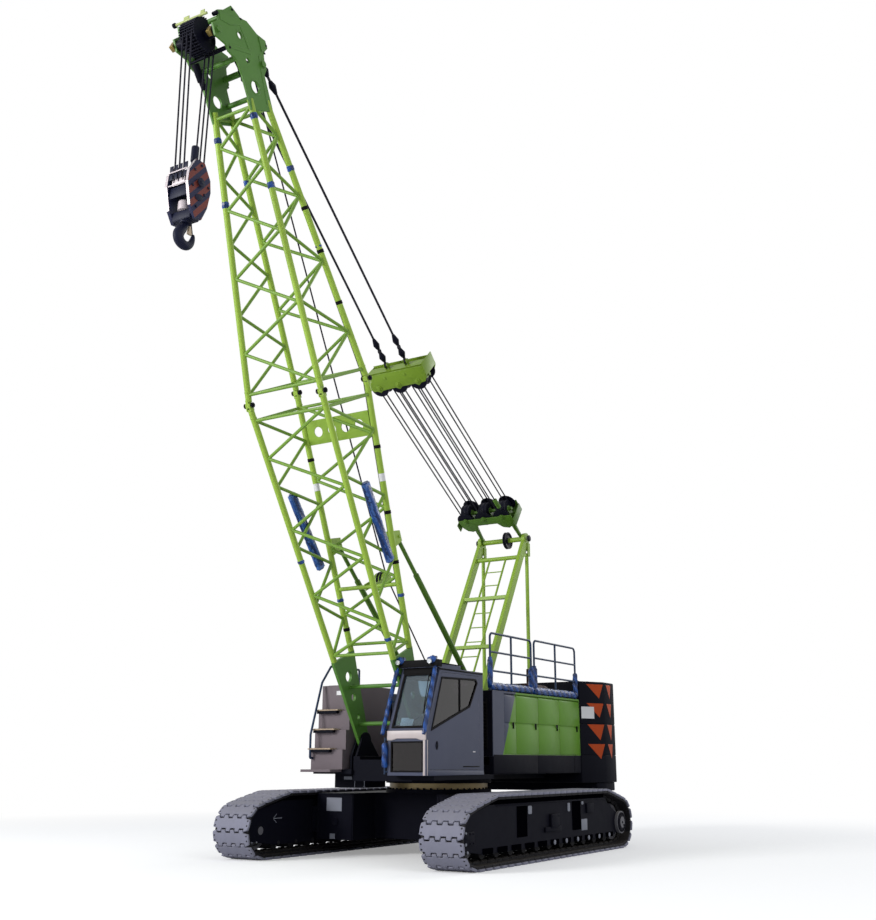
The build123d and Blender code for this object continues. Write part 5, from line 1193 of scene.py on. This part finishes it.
# section joint: at each corner a pin head with its keeper plate and two bolts, and a collar weld each side
keepers, collars = [], []
for under in (-1, 1):
    for left in (-1, 1):
        middle = chord_corner(joint_t, under, left)
        for face in (Vector((-1, 0, 0)), Vector((1, 0, 0))):
            keepers.append(round_bar(middle + face * 0.066, middle + face * 0.094, 0.046, 24))
            keepers.append(round_bar(middle + face * 0.092, middle + face * 0.104, 0.02, 6))
        for shift in (-0.23, 0.23):
            end = chord_corner(joint_t + shift, under, left)
            collars.append(round_bar(end - boom_up * 0.014, end + boom_up * 0.014, 0.0615, 24))
settle(joined(keepers), "joint_pin_keepers", navy_enamel, "boom", edge=0.004)
settle(joined(collars), "joint_collars", lit_chord_enamel, "boom", edge=0.008)

# foot: caps over the pins, each with a hexagon plug
caps = []
for side in (-1, 1):
    for near, far, radius, sides in ((0.703, 0.722, 0.085, 28), (0.722, 0.734, 0.03, 6)):
        caps.append(round_bar(on_boom(0, 0, side * near), on_boom(0, 0, side * far), radius, sides))
settle(joined(caps), "foot_pin_caps", navy_enamel, "upper", edge=0.004)

# struts laid along the foot section for the journey, wound in film from end to end and flattened
strut_film = []
for side in (-1, 1):
    ends = [on_boom(3.28, -0.15, side * 0.762), on_boom(4.78, 0.12, side * 0.805)]
    middle = sum(ends, Vector()) / 2
    spread = [Vector((middle.x + (end.x - middle.x) / 0.58, end.y, end.z)) for end in ends]
    film = film_round(spread[0], spread[1], 0.106, seed=72 + side, crumple=0.08)
    choose(film, "FACE", lambda m: True)
    bpy.ops.transform.resize(value=(0.58, 1, 1), center_override=tuple(middle))
    strut_film.append(film)
settle(joined(strut_film), "strut_wrapping", stretch_film, "boom", edge=0)

# ------------------------------------------------------------------ boom head and its sheaves
# Two cut plates in darker green between which the rope sheaves turn. The sheaves are rolled steel painted navy
# black; guard bars keep the ropes in their grooves and brass-coloured blocks lock the axle.

sheave_paint = enamel("enamel_navy_sheaves", "#0C0D1C", rough=0.45, dust=0.03, worn="#3C3E4C", metal=0.1, shine=0.08)
brass = enamel("bronze_cast", "#7C6A34", rough=0.45, dust=0.2, worn="#C2AC6A", metal=0.6)
guard_green = enamel("enamel_pale_green_worn", "#A8B472", rough=0.45, dust=0.15, worn="#D6DCB0", shine=0.3)
dress(sheave_paint, "head_sheaves", "upper_sheaves", "lower_sheaves")


def sheave(middle, radius, width, grooves, deep=0.84):
    """A wheel on an axle along X: rope grooves round its rim, and dished sides with a hub."""
    middle = Vector(middle)
    piece = round_bar(middle - Vector((width / 2, 0, 0)), middle + Vector((width / 2, 0, 0)), radius, 44)
    for groove in grooves:
        for shift in (-0.02, -0.009, 0.009, 0.02):
            choose(piece, "FACE", lambda m: True)
            bpy.ops.mesh.bisect(plane_co=(middle.x + groove + shift, 0, 0), plane_no=(1, 0, 0))
        choose(piece, "VERT", lambda m: abs(m.x - middle.x - groove) < 0.012)
        bpy.ops.transform.resize(value=(1, deep, deep), center_override=tuple(middle))
    for side in (-1, 1):
        choose(piece, "FACE", lambda m: side * (m.x - middle.x) > width / 2 - 0.0005)
        inset(radius * 0.17)
        inset(radius * 0.05, -min(0.014, width * 0.2))
        inset(radius * 0.38)
        inset(radius * 0.03, min(0.013, width * 0.19))
    alone(piece)
    return piece


axle = on_boom(12.55, 0.7, 0)
wheels = [sheave(axle + Vector((x, 0, 0)), 0.264, 0.06, (0,), 0.9) for x in (-0.07, 0.025, 0.12)]
wheels.append(sheave(on_boom(12.08, -0.3, 0.075), 0.19, 0.06, (0,), 0.88))
wheels = settle(joined(wheels), "head_sheaves_turned", sheave_paint, "boom", edge=0.002, rounds=1)
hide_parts("head_sheaves")


def boom_plate(points, x0, x1):
    """A flat plate beside the boom, its outline given up the boom and towards its under side."""
    return prism([on_boom(t, n, x0) for t, n in points], (x1 - x0, 0, 0))


# rope guard: dark plates between the sheaves and beside them, joined by bars over the nose; their navy also paints the
# shade inside the head round the sheaves
axle_t, axle_n, guard_reach = 12.55, 0.7, 0.29
guards = []
for x in (-0.128, -0.024, 0.071, 0.166):
    rim = [math.radians(a) for a in range(-100, 121, 20)]
    points = [(axle_t + guard_reach * math.sin(a), axle_n + guard_reach * math.cos(a)) for a in rim]
    guards.append(boom_plate(points, x - 0.006, x + 0.006))
for number in range(-8, 12):
    a = math.radians(number * 10)
    t, n = axle_t + 0.287 * math.sin(a), axle_n + 0.287 * math.cos(a)
    guards.append(round_bar(on_boom(t, n, -0.15), on_boom(t, n, 0.19), 0.011, 10))
for t, n in ((12.28, 0.52), (12.36, 0.38)):
    guards.append(round_bar(on_boom(t, n, -0.402), on_boom(t, n, 0.402), 0.022, 14))
# the axle's dark sleeves, out to the plates
for x0, x1 in ((-0.402, -0.14), (0.178, 0.402)):
    guards.append(round_bar(on_boom(axle_t, axle_n, x0), on_boom(axle_t, axle_n, x1), 0.092, 24))
settle(joined(guards), "rope_guard", sheave_paint, "boom", edge=0.001, rounds=1)

# pale guard bar across the nose with a dark knob at each end and two flags on it
bar_low, bar_high = on_boom(12.84, 0.8, -0.32), on_boom(12.83, 0.78, 0.36)
nose = [round_bar(bar_low, bar_high, 0.022, 16)]
for share, wide in ((0.36, 0.06), (0.86, 0.045)):
    flag = slab((-wide, -0.006, -0.045), (wide, 0.006, 0.045))
    flag.data.transform(Matrix.Translation(bar_low.lerp(bar_high, share) + Vector((0, 0, 0.04))))
    nose.append(flag)
settle(joined(nose), "nose_guard_bar", guard_green, "boom", edge=0.002)
knobs = [round_bar(bar_low - Vector((0.03, 0, 0)), bar_low + Vector((0.02, 0, 0)), 0.042, 16)]
knobs.append(round_bar(on_boom(12.83, 0.62, 0.445), on_boom(12.83, 0.62, 0.35), 0.035, 14))
for t, n in ((12.93, 0.2), (12.28, 0.5), (12.42, -0.53), (12.28, -0.43), (11.97, -0.4), (12.8, 0.02)):
    for side in (1, -1):
        knobs.append(round_bar(on_boom(t, n, side * 0.4385), on_boom(t, n, side * 0.452), 0.022, 6))
# electric line's winder and switch at the head's right chord, under the sheaves
for low, high, radius, sides in (
    ((11.93, 0.53, -0.27), (12.22, 0.58, -0.27), 0.065, 20),
    ((11.8, 0.5, -0.27), (11.95, 0.53, -0.27), 0.05, 16),
    ((12.1, 0.45, -0.4), (12.1, 0.55, -0.29), 0.03, 12),
):
    knobs.append(round_bar(on_boom(*low), on_boom(*high), radius, sides))
settle(joined(knobs), "head_dark_fittings", navy_enamel, "boom", edge=0.004)

# axle lock blocks and, on each head plate, a doubler, folds and the axle's retaining plate
blocks = []
for x in (-0.475, 0.325):
    block = slab((x - 0.04, -0.055, -0.075), (x + 0.04, 0.055, 0.075))
    turned = Matrix.Translation(axle + boom_under * 0.06) @ Matrix.Rotation(boom_lean - math.pi / 2, 4, "X")
    block.data.transform(turned)
    blocks.append(block)
settle(joined(blocks), "axle_lock_blocks", brass, "boom", edge=0.008)

doublers = []
for side in (-1, 1):
    face = side * 0.4382
    for points, thick in (
        (((12.8, 0.02), (12.86, 0.56), (12.72, 0.58), (12.66, 0.35), (12.7, 0.02)), 0.006),
        (((12.66, 0.02), (12.66, 0.08), (12.3, 0.0), (12.3, -0.06)), 0.005),
        (((12.3, -0.04), (12.34, 0.5), (12.27, 0.52), (12.22, -0.04)), 0.004),
        (((12.25, -0.3), (12.22, -0.24), (11.4, -0.15), (11.4, -0.2)), 0.004),
        (((12.5, -0.5), (12.36, -0.5), (12.3, -0.36), (12.56, -0.36)), 0.012),
    ):
        doublers.append(boom_plate(points, face, face + side * thick))
    for t, n, radius in ((12.52, 0.15, 0.085), (11.67, 0.05, 0.135)):
        rim = round_bar(on_boom(t, n, face), on_boom(t, n, face + side * 0.005), radius, 32)
        choose(rim, "FACE", lambda m: abs(m.x) > 0.443)
        inset(0.024)
        bpy.ops.mesh.delete(type="FACE")
        choose(rim, "FACE", lambda m: abs(m.x) < 0.4385)
        bpy.ops.mesh.delete(type="FACE")
        alone(rim)
        doublers.append(rim)
settle(joined(doublers), "head_plate_doublers", dark_green_enamel, "boom", edge=0.0015, rounds=1)

# sockets of the pendants: a clevis and a tapered cone on each rope, at both ends
pendant_top, pendant_low = on_boom(12.43, -0.47, 0), Vector((0, -1.64, 9.33))
run = (pendant_low - pendant_top).normalized()
# along the rope from and to, and the radius at each
cones = (
    (0.3, 0.39, 0.035, 0.07), (0.39, 0.5, 0.07, 0.032), (0.58, 0.68, 0.032, 0.066), (0.68, 0.82, 0.066, 0.028),
)
sockets = []
for side in (-1, 1):
    shift = Vector((side * 0.23, 0, 0))
    for start, way, near_end in ((pendant_top + shift, run, 0), (pendant_low + shift, -run, 0.2)):
        for near, far, r0, r1 in cones:
            alone()
            bpy.ops.mesh.primitive_cone_add(
                vertices=20, radius1=r0, radius2=r1, depth=far - near,
                location=start + way * ((near + far) / 2 - near_end), rotation=way.to_track_quat("Z", "Y").to_euler(),
            )
            sockets.append(bpy.context.object)
settle(joined(sockets), "pendant_sockets", sheave_paint, "pendant_body", edge=0.004)

# ------------------------------------------------------------------ hook block
# Two thick cheek plates with warning stripes in navy and maroon sloping across their outer faces, three sheaves
# between them, and a forged navy hook with a spring latch. The cheeks' front edges are worn bright.


def stripes(tree, place):
    """One on the maroon stripes of the two outer faces: they rise towards the rear and repeat every 0.26 m."""
    slope, period, phase, navy_share, outer_x = -1.2, 0.256, 0.348, 0.46, 0.249
    split = add_node(tree, "ShaderNodeSeparateXYZ", {0: place}).outputs
    lean = maths(tree, "MULTIPLY_ADD", split["Y"], slope, split["Z"])
    wave = maths(tree, "FRACT", maths(tree, "MULTIPLY_ADD", lean, 1 / period, phase))
    band = maths(tree, "GREATER_THAN", wave, navy_share)
    outer = maths(tree, "GREATER_THAN", maths(tree, "ABSOLUTE", split["X"]), outer_x)
    return maths(tree, "MULTIPLY", band, outer)


striped = enamel(
    "enamel_navy_maroon_stripes", "#151A3C", rough=0.4, dust=0.08, shine=0.2, worn="#8C7C86", second="#6E342E",
    where_second=stripes,
)
bright_edge = enamel("steel_bright_worn", "#C2B8BC", rough=0.4, dust=0.1, worn="#F2ECEA", metal=0.2, shine=0.4)
forged = enamel("enamel_on_forging_navy", "#10152C", rough=0.45, dust=0.05, worn="#4A4E60", shine=0.15)
latch_steel = enamel("steel_zinc_plated_tan", "#B7A58C", rough=0.45, dust=0.1, worn="#E6DCCB", metal=0.3)
dress(striped, "hook_block")
dress(forged, "hook")

block_y, block_low = -7.617, 9.76
cheek_half, cheek_thick = 0.25, 0.06
sheave_z, cover_z = 10.38, 10.13
block_axle = Vector((0, block_y, sheave_z))

# sheaves with turned grooves
wheels = [sheave(block_axle + Vector((x, 0, 0)), 0.204, 0.06, (0,), 0.9) for x in (-0.095, 0, 0.095)]
wheels = settle(joined(wheels), "block_sheaves_turned", forged, "hook_hang", edge=0.002, rounds=1)
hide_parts("block_sheaves")

# worn strips along each cheek's edge, front and rear
strips = []
for side in (-1, 1):
    x0, x1 = sorted((side * (cheek_half - cheek_thick + 0.003), side * (cheek_half - 0.003)))
    for points in (
        ((-0.17, 0.18), (-0.25, 0.56), (-0.23, 0.76), (-0.09, 1.0)),
        ((0.19, 0.26), (0.25, 0.56), (0.23, 0.76), (0.09, 1.0)),
    ):
        for (y0, z0), (y1, z1) in zip(points, points[1:]):
            out = 0.003 if y0 > 0 else -0.003
            strip = slab((x0, -0.001, 0), (x1, 0.001, 1))
            for vertex in strip.data.vertices:
                y, z = (y1, z1) if vertex.co.z > 0.5 else (y0, z0)
                vertex.co = (vertex.co.x, block_y + y + out + vertex.co.y, block_low + z)
            strips.append(strip)
# keeper rods across the front and the rear
for z in (10.555, 10.325):
    for y in (-0.235, 0.235):
        strips.append(round_bar((-0.195, block_y + y, z), (0.195, block_y + y, z), 0.011, 14))
# polished band round the sheaves' front between the rods
band = round_bar((-0.13, block_y, sheave_z), (0.13, block_y, sheave_z), 0.212, 48)
choose(band, "VERT", lambda m: not (m.y < block_y - 0.1 and abs(m.z - 10.39) < 0.075))
bpy.ops.mesh.delete(type="VERT")
alone(band)
strips.append(band)
# thrust bearing's rounded housing on the cross-head
barrel = round_bar((0.02, block_y - 0.06, 9.93), (0.02, block_y - 0.06, 10.09), 0.105, 32)
choose(barrel, "FACE", lambda m: m.z > 10.08)
bpy.ops.mesh.bevel(offset=0.03, segments=4)
alone(barrel)
strips.append(barrel)
settle(joined(strips), "block_bright_edges", bright_edge, "hook_hang", edge=0.001, rounds=1)

# on the outer faces: axle caps, an oval cover and through bolts
fittings = []
for side in (-1, 1):
    face = side * cheek_half
    for near, far, radius, sides in ((0.03, 0.042, 0.075, 32), (0.042, 0.052, 0.03, 6)):
        ends = [(face + side * reach, block_y, sheave_z) for reach in (near, far)]
        fittings.append(round_bar(*ends, radius, sides))
    for y, z in ((-0.15, 0.52), (0.19, 0.62), (0.11, 0.46), (-0.05, 0.2), (0.02, 0.93), (-0.12, 0.8)):
        bolt = Vector((face, block_y + y, block_low + z))
        fittings.append(round_bar(bolt, bolt + Vector((side * 0.016, 0, 0)), 0.024, 6))
    cover = round_bar((face, block_y, cover_z), (face + side * 0.01, block_y, cover_z), 0.055, 28)
    choose(cover, "FACE", lambda m: True)
    bpy.ops.transform.resize(value=(1, 1.7, 1), center_override=(face, block_y, cover_z))
    alone(cover)
    about = Matrix.Translation((0, block_y, cover_z))
    cover.data.transform(about @ Matrix.Rotation(0.35, 4, "X") @ about.inverted())
    fittings.append(cover)
# hook nut collar under the block
fittings.append(round_bar((0, block_y, 9.74), (0, block_y, 9.8), 0.1, 28))
# guard plates in front of the sheaves: slotted for the ropes above, closed below
for y, z0, z1 in ((-0.222, 10.575, 10.68), (-0.228, 10.43, 10.53), (-0.2, 10.12, 10.3), (0.222, 10.4, 10.68)):
    ways = ((-0.19, -0.115), (-0.075, -0.02), (0.02, 0.075), (0.115, 0.19)) if z0 > 10.4 else ((-0.19, 0.19),)
    for x0, x1 in ways:
        fittings.append(slab((x0, block_y + y, z0), (x1, block_y + y + 0.008, z1)))
fittings.append(slab((-0.186, block_y - 0.108, 9.785), (0.186, block_y - 0.092, 9.925)))
fittings.append(slab((-0.186, block_y - 0.108, 9.77), (0.186, block_y + 0.092, 9.785)))
settle(joined(fittings), "block_fittings", forged, "hook_hang", edge=0.004)

# forged hook: one tapering bar, thick and flattened at its back, open to the rear, with the shank above
hook_eye = Vector((0, block_y, 9.5))
stations = (
    # along Y and Z from the eye, half width across the bar, half width along X
    (0.0, 0.3, 0.048, 0.048),
    (0.0, 0.22, 0.05, 0.05),
    (-0.01, 0.19, 0.06, 0.06),
    (-0.08, 0.12, 0.085, 0.07),
    (-0.15, 0.02, 0.105, 0.078),
    (-0.125, -0.075, 0.1, 0.078),
    (-0.04, -0.125, 0.088, 0.075),
    (0.06, -0.115, 0.078, 0.068),
    (0.135, -0.05, 0.06, 0.056),
    (0.168, 0.03, 0.044, 0.046),
    (0.176, 0.1, 0.03, 0.034),
    (0.176, 0.135, 0.02, 0.024),
)
alone()
bpy.ops.mesh.primitive_circle_add(vertices=24, radius=1, fill_type="NGON")
forging = bpy.context.object
centre, out, across, wide = Vector((0, 0, 0)), Vector((0, 1, 0)), 1, 1
for place, (y, z, new_across, new_wide) in enumerate(stations):
    before, after = stations[max(place - 1, 0)], stations[min(place + 1, len(stations) - 1)]
    way = Vector((0, after[0] - before[0], after[1] - before[1])).normalized()
    new_out, new_centre = Vector((0, way.z, -way.y)), hook_eye + Vector((0, y, z))
    if place:
        choose(forging, "FACE", lambda m: (m - centre).length < 0.002)
        bpy.ops.mesh.extrude_region_move()
        bpy.ops.object.mode_set(mode="OBJECT")
    for vertex in forging.data.vertices:
        if vertex.select or not place:
            arm = vertex.co - centre
            aside = Vector((arm.x / wide * new_wide, 0, 0))
            vertex.co = new_centre + aside + new_out * (arm.dot(out) / across * new_across)
    centre, out, across, wide = new_centre, new_out, new_across, new_wide
facing_out(forging)
smooth = forging.modifiers.new("forged_round", "SUBSURF")
smooth.levels = 2
bpy.ops.object.modifier_apply(modifier="forged_round")
forging = settle(forging, "hook_forged", forged, "hook_hang", edge=0)
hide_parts("hook")
# spring latch across the throat: a dark strip, and the pressed tan plate beside it
latch = [round_bar((0, block_y + 0.1, 9.84), (0, block_y + 0.152, 9.62), 0.017, 12)]
latch.append(round_bar((-0.045, block_y + 0.07, 9.85), (0.045, block_y + 0.07, 9.85), 0.018, 14))
settle(joined(latch), "hook_latch", forged, "hook_hang", edge=0.002)
spring = prism([(-0.02, block_y + y, z) for y, z in ((0.05, 9.6), (0.09, 9.8), (0.135, 9.6))], (0.04, 0, 0))
settle(spring, "latch_plate", latch_steel, "hook_hang", edge=0.002)

# dead end of the rope: a wedge socket pinned on top of the block
socket = [round_bar((0.02, block_y + 0.08, 10.86), (0.02, block_y + 0.09, 11.13), 0.062, 24)]
socket.append(round_bar((0.02, block_y + 0.07, 10.66), (0.02, block_y + 0.08, 10.87), 0.045, 16))
socket.append(slab((-0.19, block_y + 0.05, 10.66), (0.19, block_y + 0.09, 10.7)))
settle(joined(socket), "dead_end_socket", forged, "hook_hang", edge=0.012)

# ------------------------------------------------------------------ spreaders and their sheaves
# Each spreader is a cross beam between two deep lobed plates, with three pairs of sheaves on one axle between them.
# The plates are welded and painted green, with a boss and a nut at each axle support; dark rope guards line them.

plate_lime = enamel("enamel_olive_lime", "#6F8E20", rough=0.4, dust=0.05, worn="#C6D08A", wear=0.3, shine=0.3)
plate_green = enamel("enamel_moss_green", "#456A1C", rough=0.4, dust=0.05, worn="#A8B86A", wear=0.3, shine=0.25)
group_pitch, rope_side = 0.45, 0.218


def outwards(up):
    """The way square to the ropes' plane that leads down."""
    away = Vector((0, -up.z, up.y))
    return away if away.z < 0 else -away


def facing_plate(axle, up, points, near, far):
    """A plate along the ropes: its outline across the crane and up from the axle, from one depth to another."""
    away = outwards(up)
    return prism([axle + Vector((x, 0, 0)) + up * along + away * near for x, along in points], away * (far - near))


def facing_disc(axle, up, x, along, radius, near, far, sides):
    """A disc on a facing plate: a boss, a nut or a washer."""
    middle = axle + Vector((x, 0, 0)) + up * along
    return round_bar(middle + outwards(up) * near, middle + outwards(up) * far, radius, sides)


upper_place, lower_place = Vector((0, -1.38, 9.08)), Vector((0, 2.05, 7.01))
upper_run = (Vector((0, -1.64, 9.33)) - upper_place).normalized()
gantry_top = Vector((0, 2.82, 6.47))
lower_run = (gantry_top - lower_place).normalized()
deep = (
    (-0.69, 0.05), (-0.6, -0.06), (-0.52, -0.06), (-0.45, -0.1), (-0.38, -0.06), (-0.08, -0.05), (0, -0.1),
    (0.08, -0.05), (0.38, -0.05), (0.45, -0.1), (0.52, -0.05), (0.62, -0.04), (0.69, 0.06), (0.69, 0.3), (-0.69, 0.3),
)
lobed = (
    (-0.64, -0.02), (-0.52, -0.02), (-0.45, -0.06), (-0.38, -0.02), (-0.07, -0.02), (0, -0.06), (0.07, -0.02),
    (0.38, -0.02), (0.45, -0.06), (0.52, -0.02), (0.68, -0.02), (0.68, 0.12), (0.62, 0.27), (0.5, 0.34), (0.36, 0.3),
    (0.26, 0.18), (-0.2, 0.16), (-0.28, 0.28), (-0.4, 0.34), (-0.52, 0.3), (-0.6, 0.2),
)
for place, run, outline, finish, body, tag in (
    (upper_place, upper_run, deep, plate_lime, "pendant_body", "upper"),
    (lower_place, lower_run, lobed, plate_green, "bridle", "lower"),
):
    wheels = [sheave(place + Vector((x, 0, 0)), 0.2, 0.19, (-0.05, 0.05), 0.93) for x in (-group_pitch, 0, group_pitch)]
    wheels = settle(joined(wheels), f"{tag}_sheaves_turned", sheave_paint, body, edge=0.002, rounds=1)
    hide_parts(f"{tag}_sheaves")
    plates, guards = [], []
    for side in (-1, 1):
        near, far = side * (rope_side + 0.012), side * (rope_side + 0.028)
        plates.append(facing_plate(place, run, outline, near, far))
        for x in (-group_pitch, 0, group_pitch):
            plates.append(facing_disc(place, run, x, 0, 0.062, far, far + side * 0.016, 28))
            plates.append(facing_disc(place, run, x, 0, 0.034, far + side * 0.014, far + side * 0.036, 6))
            lobe = [math.radians(a) for a in range(0, 360, 15)]
            ring = [(x + 0.196 * math.sin(a), 0.196 * math.cos(a)) for a in lobe]
            guards.append(facing_plate(place, run, ring, side * (rope_side + 0.003), side * (rope_side + 0.011)))
        for x in (-0.23, 0.23) if tag == "upper" else ():
            plates.append(facing_disc(place, run, x, 0.2, 0.03, far, far + side * 0.014, 20))
    # end plates tie the two lobed plates to the beam; one carries a raised ear
    for side in (-1, 1):
        ear = 0.36 if side > 0 and tag == "upper" else 0.27
        end = [(side * x, y) for x, y in ((0.69, 0.08), (0.705, 0.08), (0.705, ear), (0.69, ear))]
        plates.append(facing_plate(place, run, end, -rope_side - 0.02, rope_side + 0.05))
    settle(joined(plates), f"{tag}_spreader_plates", finish, body, edge=0.004)
    settle(joined(guards), f"{tag}_rope_guards", sheave_paint, body, edge=0.002, rounds=1)
dress(plate_lime, "upper_spreader")
dress(plate_green, "lower_spreader")

# links from the lower spreader to the gantry: two tapered bars, and a wedge socket on the last rope
links = []
for side in (-1, 1):
    bar = [(side * x, y) for x, y in ((0.4, 0.22), (0.52, 0.22), (0.505, 0.86), (0.455, 0.86))]
    links.append(facing_plate(lower_place, lower_run, bar, -0.035, 0.035))
rope_way = (upper_place - lower_place).normalized()
socket_start = lower_place + Vector((0.5, 0, 0)) + Vector((0, rope_way.z, -rope_way.y)) * -0.204
links.append(round_bar(socket_start + rope_way * 0.28, socket_start + rope_way * 0.52, 0.05, 16))
settle(joined(links), "spreader_links", plate_green, "bridle", edge=0.01)

# ------------------------------------------------------------------ gantry fittings and back-stops
# The raised gantry is a welded box frame. A black guide sheave turns on the tube across its top, and dark pins hold its
# legs. The back-stops are green tubes sliding in green barrels.

dress(plate_green, "backstop_rods", "backstop_barrels")
guide = sheave(gantry_top + Vector((0.11, 0, 0)), 0.19, 0.07, (0,), 0.86)
settle(guide, "gantry_guide_sheave", sheave_paint, "upper", edge=0.002, rounds=1)
pins = []
for side in (-1, 1):
    for y, z, near, far, radius in (
        (gantry_top.y, gantry_top.z, 0.63, 0.665, 0.07), (2.88, 2.0, 0.63, 0.66, 0.06), (1.0, 2.3, 0.615, 0.7, 0.05),
    ):
        pins.append(round_bar((side * near, y, z), (side * far, y, z), radius, 24))
settle(joined(pins), "gantry_pins", sheave_paint, "upper", edge=0.005)

# ------------------------------------------------------------------ winches and the hoist rope's lead
# Grooved drums in the frame's grey between flanges, with a layer of greased wire rope wound on each. The hoist rope
# leaves the main drum to the guide roller on the boom; its lead is left on no body, fixed in place.


def rope_turns(middle, radius, half, turns):
    """Turns of rope lying side by side on a drum along X."""
    coils = []
    for number in range(turns):
        x = -half + (number + 0.5) * 2 * half / turns
        alone()
        bpy.ops.mesh.primitive_torus_add(
            major_radius=radius, minor_radius=half / turns, major_segments=48, minor_segments=8,
            location=middle + Vector((x, 0, 0)), rotation=(0, math.pi / 2, 0),
        )
        coils.append(bpy.context.object)
    return joined(coils)


main_place, luff_place, roller_place = Vector((0, 0.47, 2.35)), Vector((0, 1.76, 2.25)), Vector((0.075, -2.13, 4.91))
settle(rope_turns(main_place, 0.312, 0.385, 27), "main_drum_rope", wire_rope, "main_drum_body", edge=0)
settle(rope_turns(luff_place, 0.262, 0.36, 25), "luff_drum_rope", wire_rope, "luff_drum_body", edge=0)
roller = sheave(roller_place, 0.15, 0.1, (0,), 0.86)
settle(roller, "guide_roller_turned", sheave_paint, "boom", edge=0.002, rounds=1)
lead_start, lead_end = Vector((0.075, 0.25, 2.62)), Vector((0.075, -2.03, 5.02))
rope = round_bar(lead_start, lead_end, 0.014, 10)
choose(rope, "EDGE", lambda m: 2.7 < m.z < 4.9)
bpy.ops.mesh.subdivide(number_cuts=12)
rope = settle(rope, "hoist_rope_lead", wire_rope, None, edge=0)
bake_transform(rope)

# ------------------------------------------------------------------ step tank, exhaust and deck fittings
# The tank beside the boom foot is sheet steel in a warm grey with a pressed tread on each step. The exhaust is a
# heat-stained drum with a pipe, clamped to the left housing's roof among a few dark boxes.

tank_grey = enamel("enamel_warm_grey", "#6A6066", rough=0.5, dust=0.15, worn="#9A9090", shine=0.2)
tread_plate = enamel("steel_tread_plate_sandy", "#B09C86", rough=0.6, dust=0.3, worn="#E0D2C0", shine=0.2)
exhaust_skin = enamel("steel_heat_stained_maroon", "#2E1A1E", rough=0.6, dust=0.2, worn="#6A4A44", metal=0.2, shine=0.1)
dress(tank_grey, "step_tank")
dress(exhaust_skin, "silencer")

treads, toes = [], []
for height, front in ((2.58, -1.89), (2.23, -1.99), (1.88, -2.09)):
    treads.append(slab((-1.5, front - 0.1, height), (-0.98, front + 0.09, height + 0.022)))
    toes.append(slab((-1.47, front - 0.09, height - 0.05), (-1.02, front, height - 0.002)))
    for number in range(7):
        x = -1.46 + number * 0.07
        treads.append(slab((x, front - 0.085, height + 0.021), (x + 0.03, front + 0.07, height + 0.028)))
settle(joined(treads), "step_treads", tread_plate, "upper", edge=0.003, rounds=1)
settle(joined(toes), "step_toes", navy_enamel, "upper", edge=0.003, rounds=1)
# filler cap and hatch on the tank's top, and a pale plate on its front
caps = [round_bar((-1.0, -1.5, 3.05), (-1.0, -1.5, 3.1), 0.07, 28), slab((-1.42, -1.7, 3.05), (-1.16, -1.15, 3.062))]
settle(joined(caps), "tank_fittings", navy_enamel, "upper", edge=0.005)
plate = slab((-1.16, -1.796, 2.87), (-1.02, -1.7905, 2.95))
settle(plate, "tank_plate", plate_white, "upper", edge=0.001, rounds=1)

# exhaust: clamps round the drum and their brackets on the roof
clamps = []
for y in (1.9, 2.2, 2.5):
    clamps.append(round_bar((1.0, y - 0.015, 3.105), (1.0, y + 0.015, 3.105), 0.121, 32))
    clamps.append(slab((0.93, y - 0.02, 2.95), (1.07, y + 0.02, 3.0)))
settle(joined(clamps), "exhaust_clamps", exhaust_skin, "upper", edge=0.003, rounds=1)
boxes = []
for low, high in (
    ((1.02, 0.62, 2.951), (1.36, 1.02, 3.12)), ((1.06, 1.1, 2.951), (1.3, 1.5, 3.07)),
    ((1.2, 2.75, 2.951), (1.42, 3.1, 3.08)),
):
    box = slab(low, high)
    let_in(box, lambda m: m.z > high[2] - 0.001, 0.03, 0.006)
    boxes.append(box)
settle(joined(boxes), "roof_boxes", exhaust_skin, "upper", edge=0.012)

# louvres in the side of the right housing, ahead of its doors, and tail lamps on the counterweight's rear
tails = []
for side in (-1, 1):
    lamp = slab((side * 1.2 - 0.09, 4.7, 1.42), (side * 1.2 + 0.09, 4.716, 1.5))
    let_in(lamp, lambda m: m.y > 4.715, 0.01, 0.003)
    tails.append(lamp)
tail_lens = enamel("lamp_lens_red", "#7A1416", rough=0.2, dust=0.15, worn="#B04A40", wear=0.1)
settle(joined(tails), "tail_lamps", tail_lens, "upper", edge=0.003)
louvres = []
for number in range(9):
    height = 1.95 + number * 0.095
    louvres.append(slab((-1.503, 0.0, height), (-1.49, 0.5, height + 0.05)))
settle(joined(louvres), "side_louvres", navy_enamel, "upper", edge=0.004, rounds=1)


# ------------------------------------------------------------------ sizes
# The dressed model's box, over every shown mesh but the backdrop.
low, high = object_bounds()
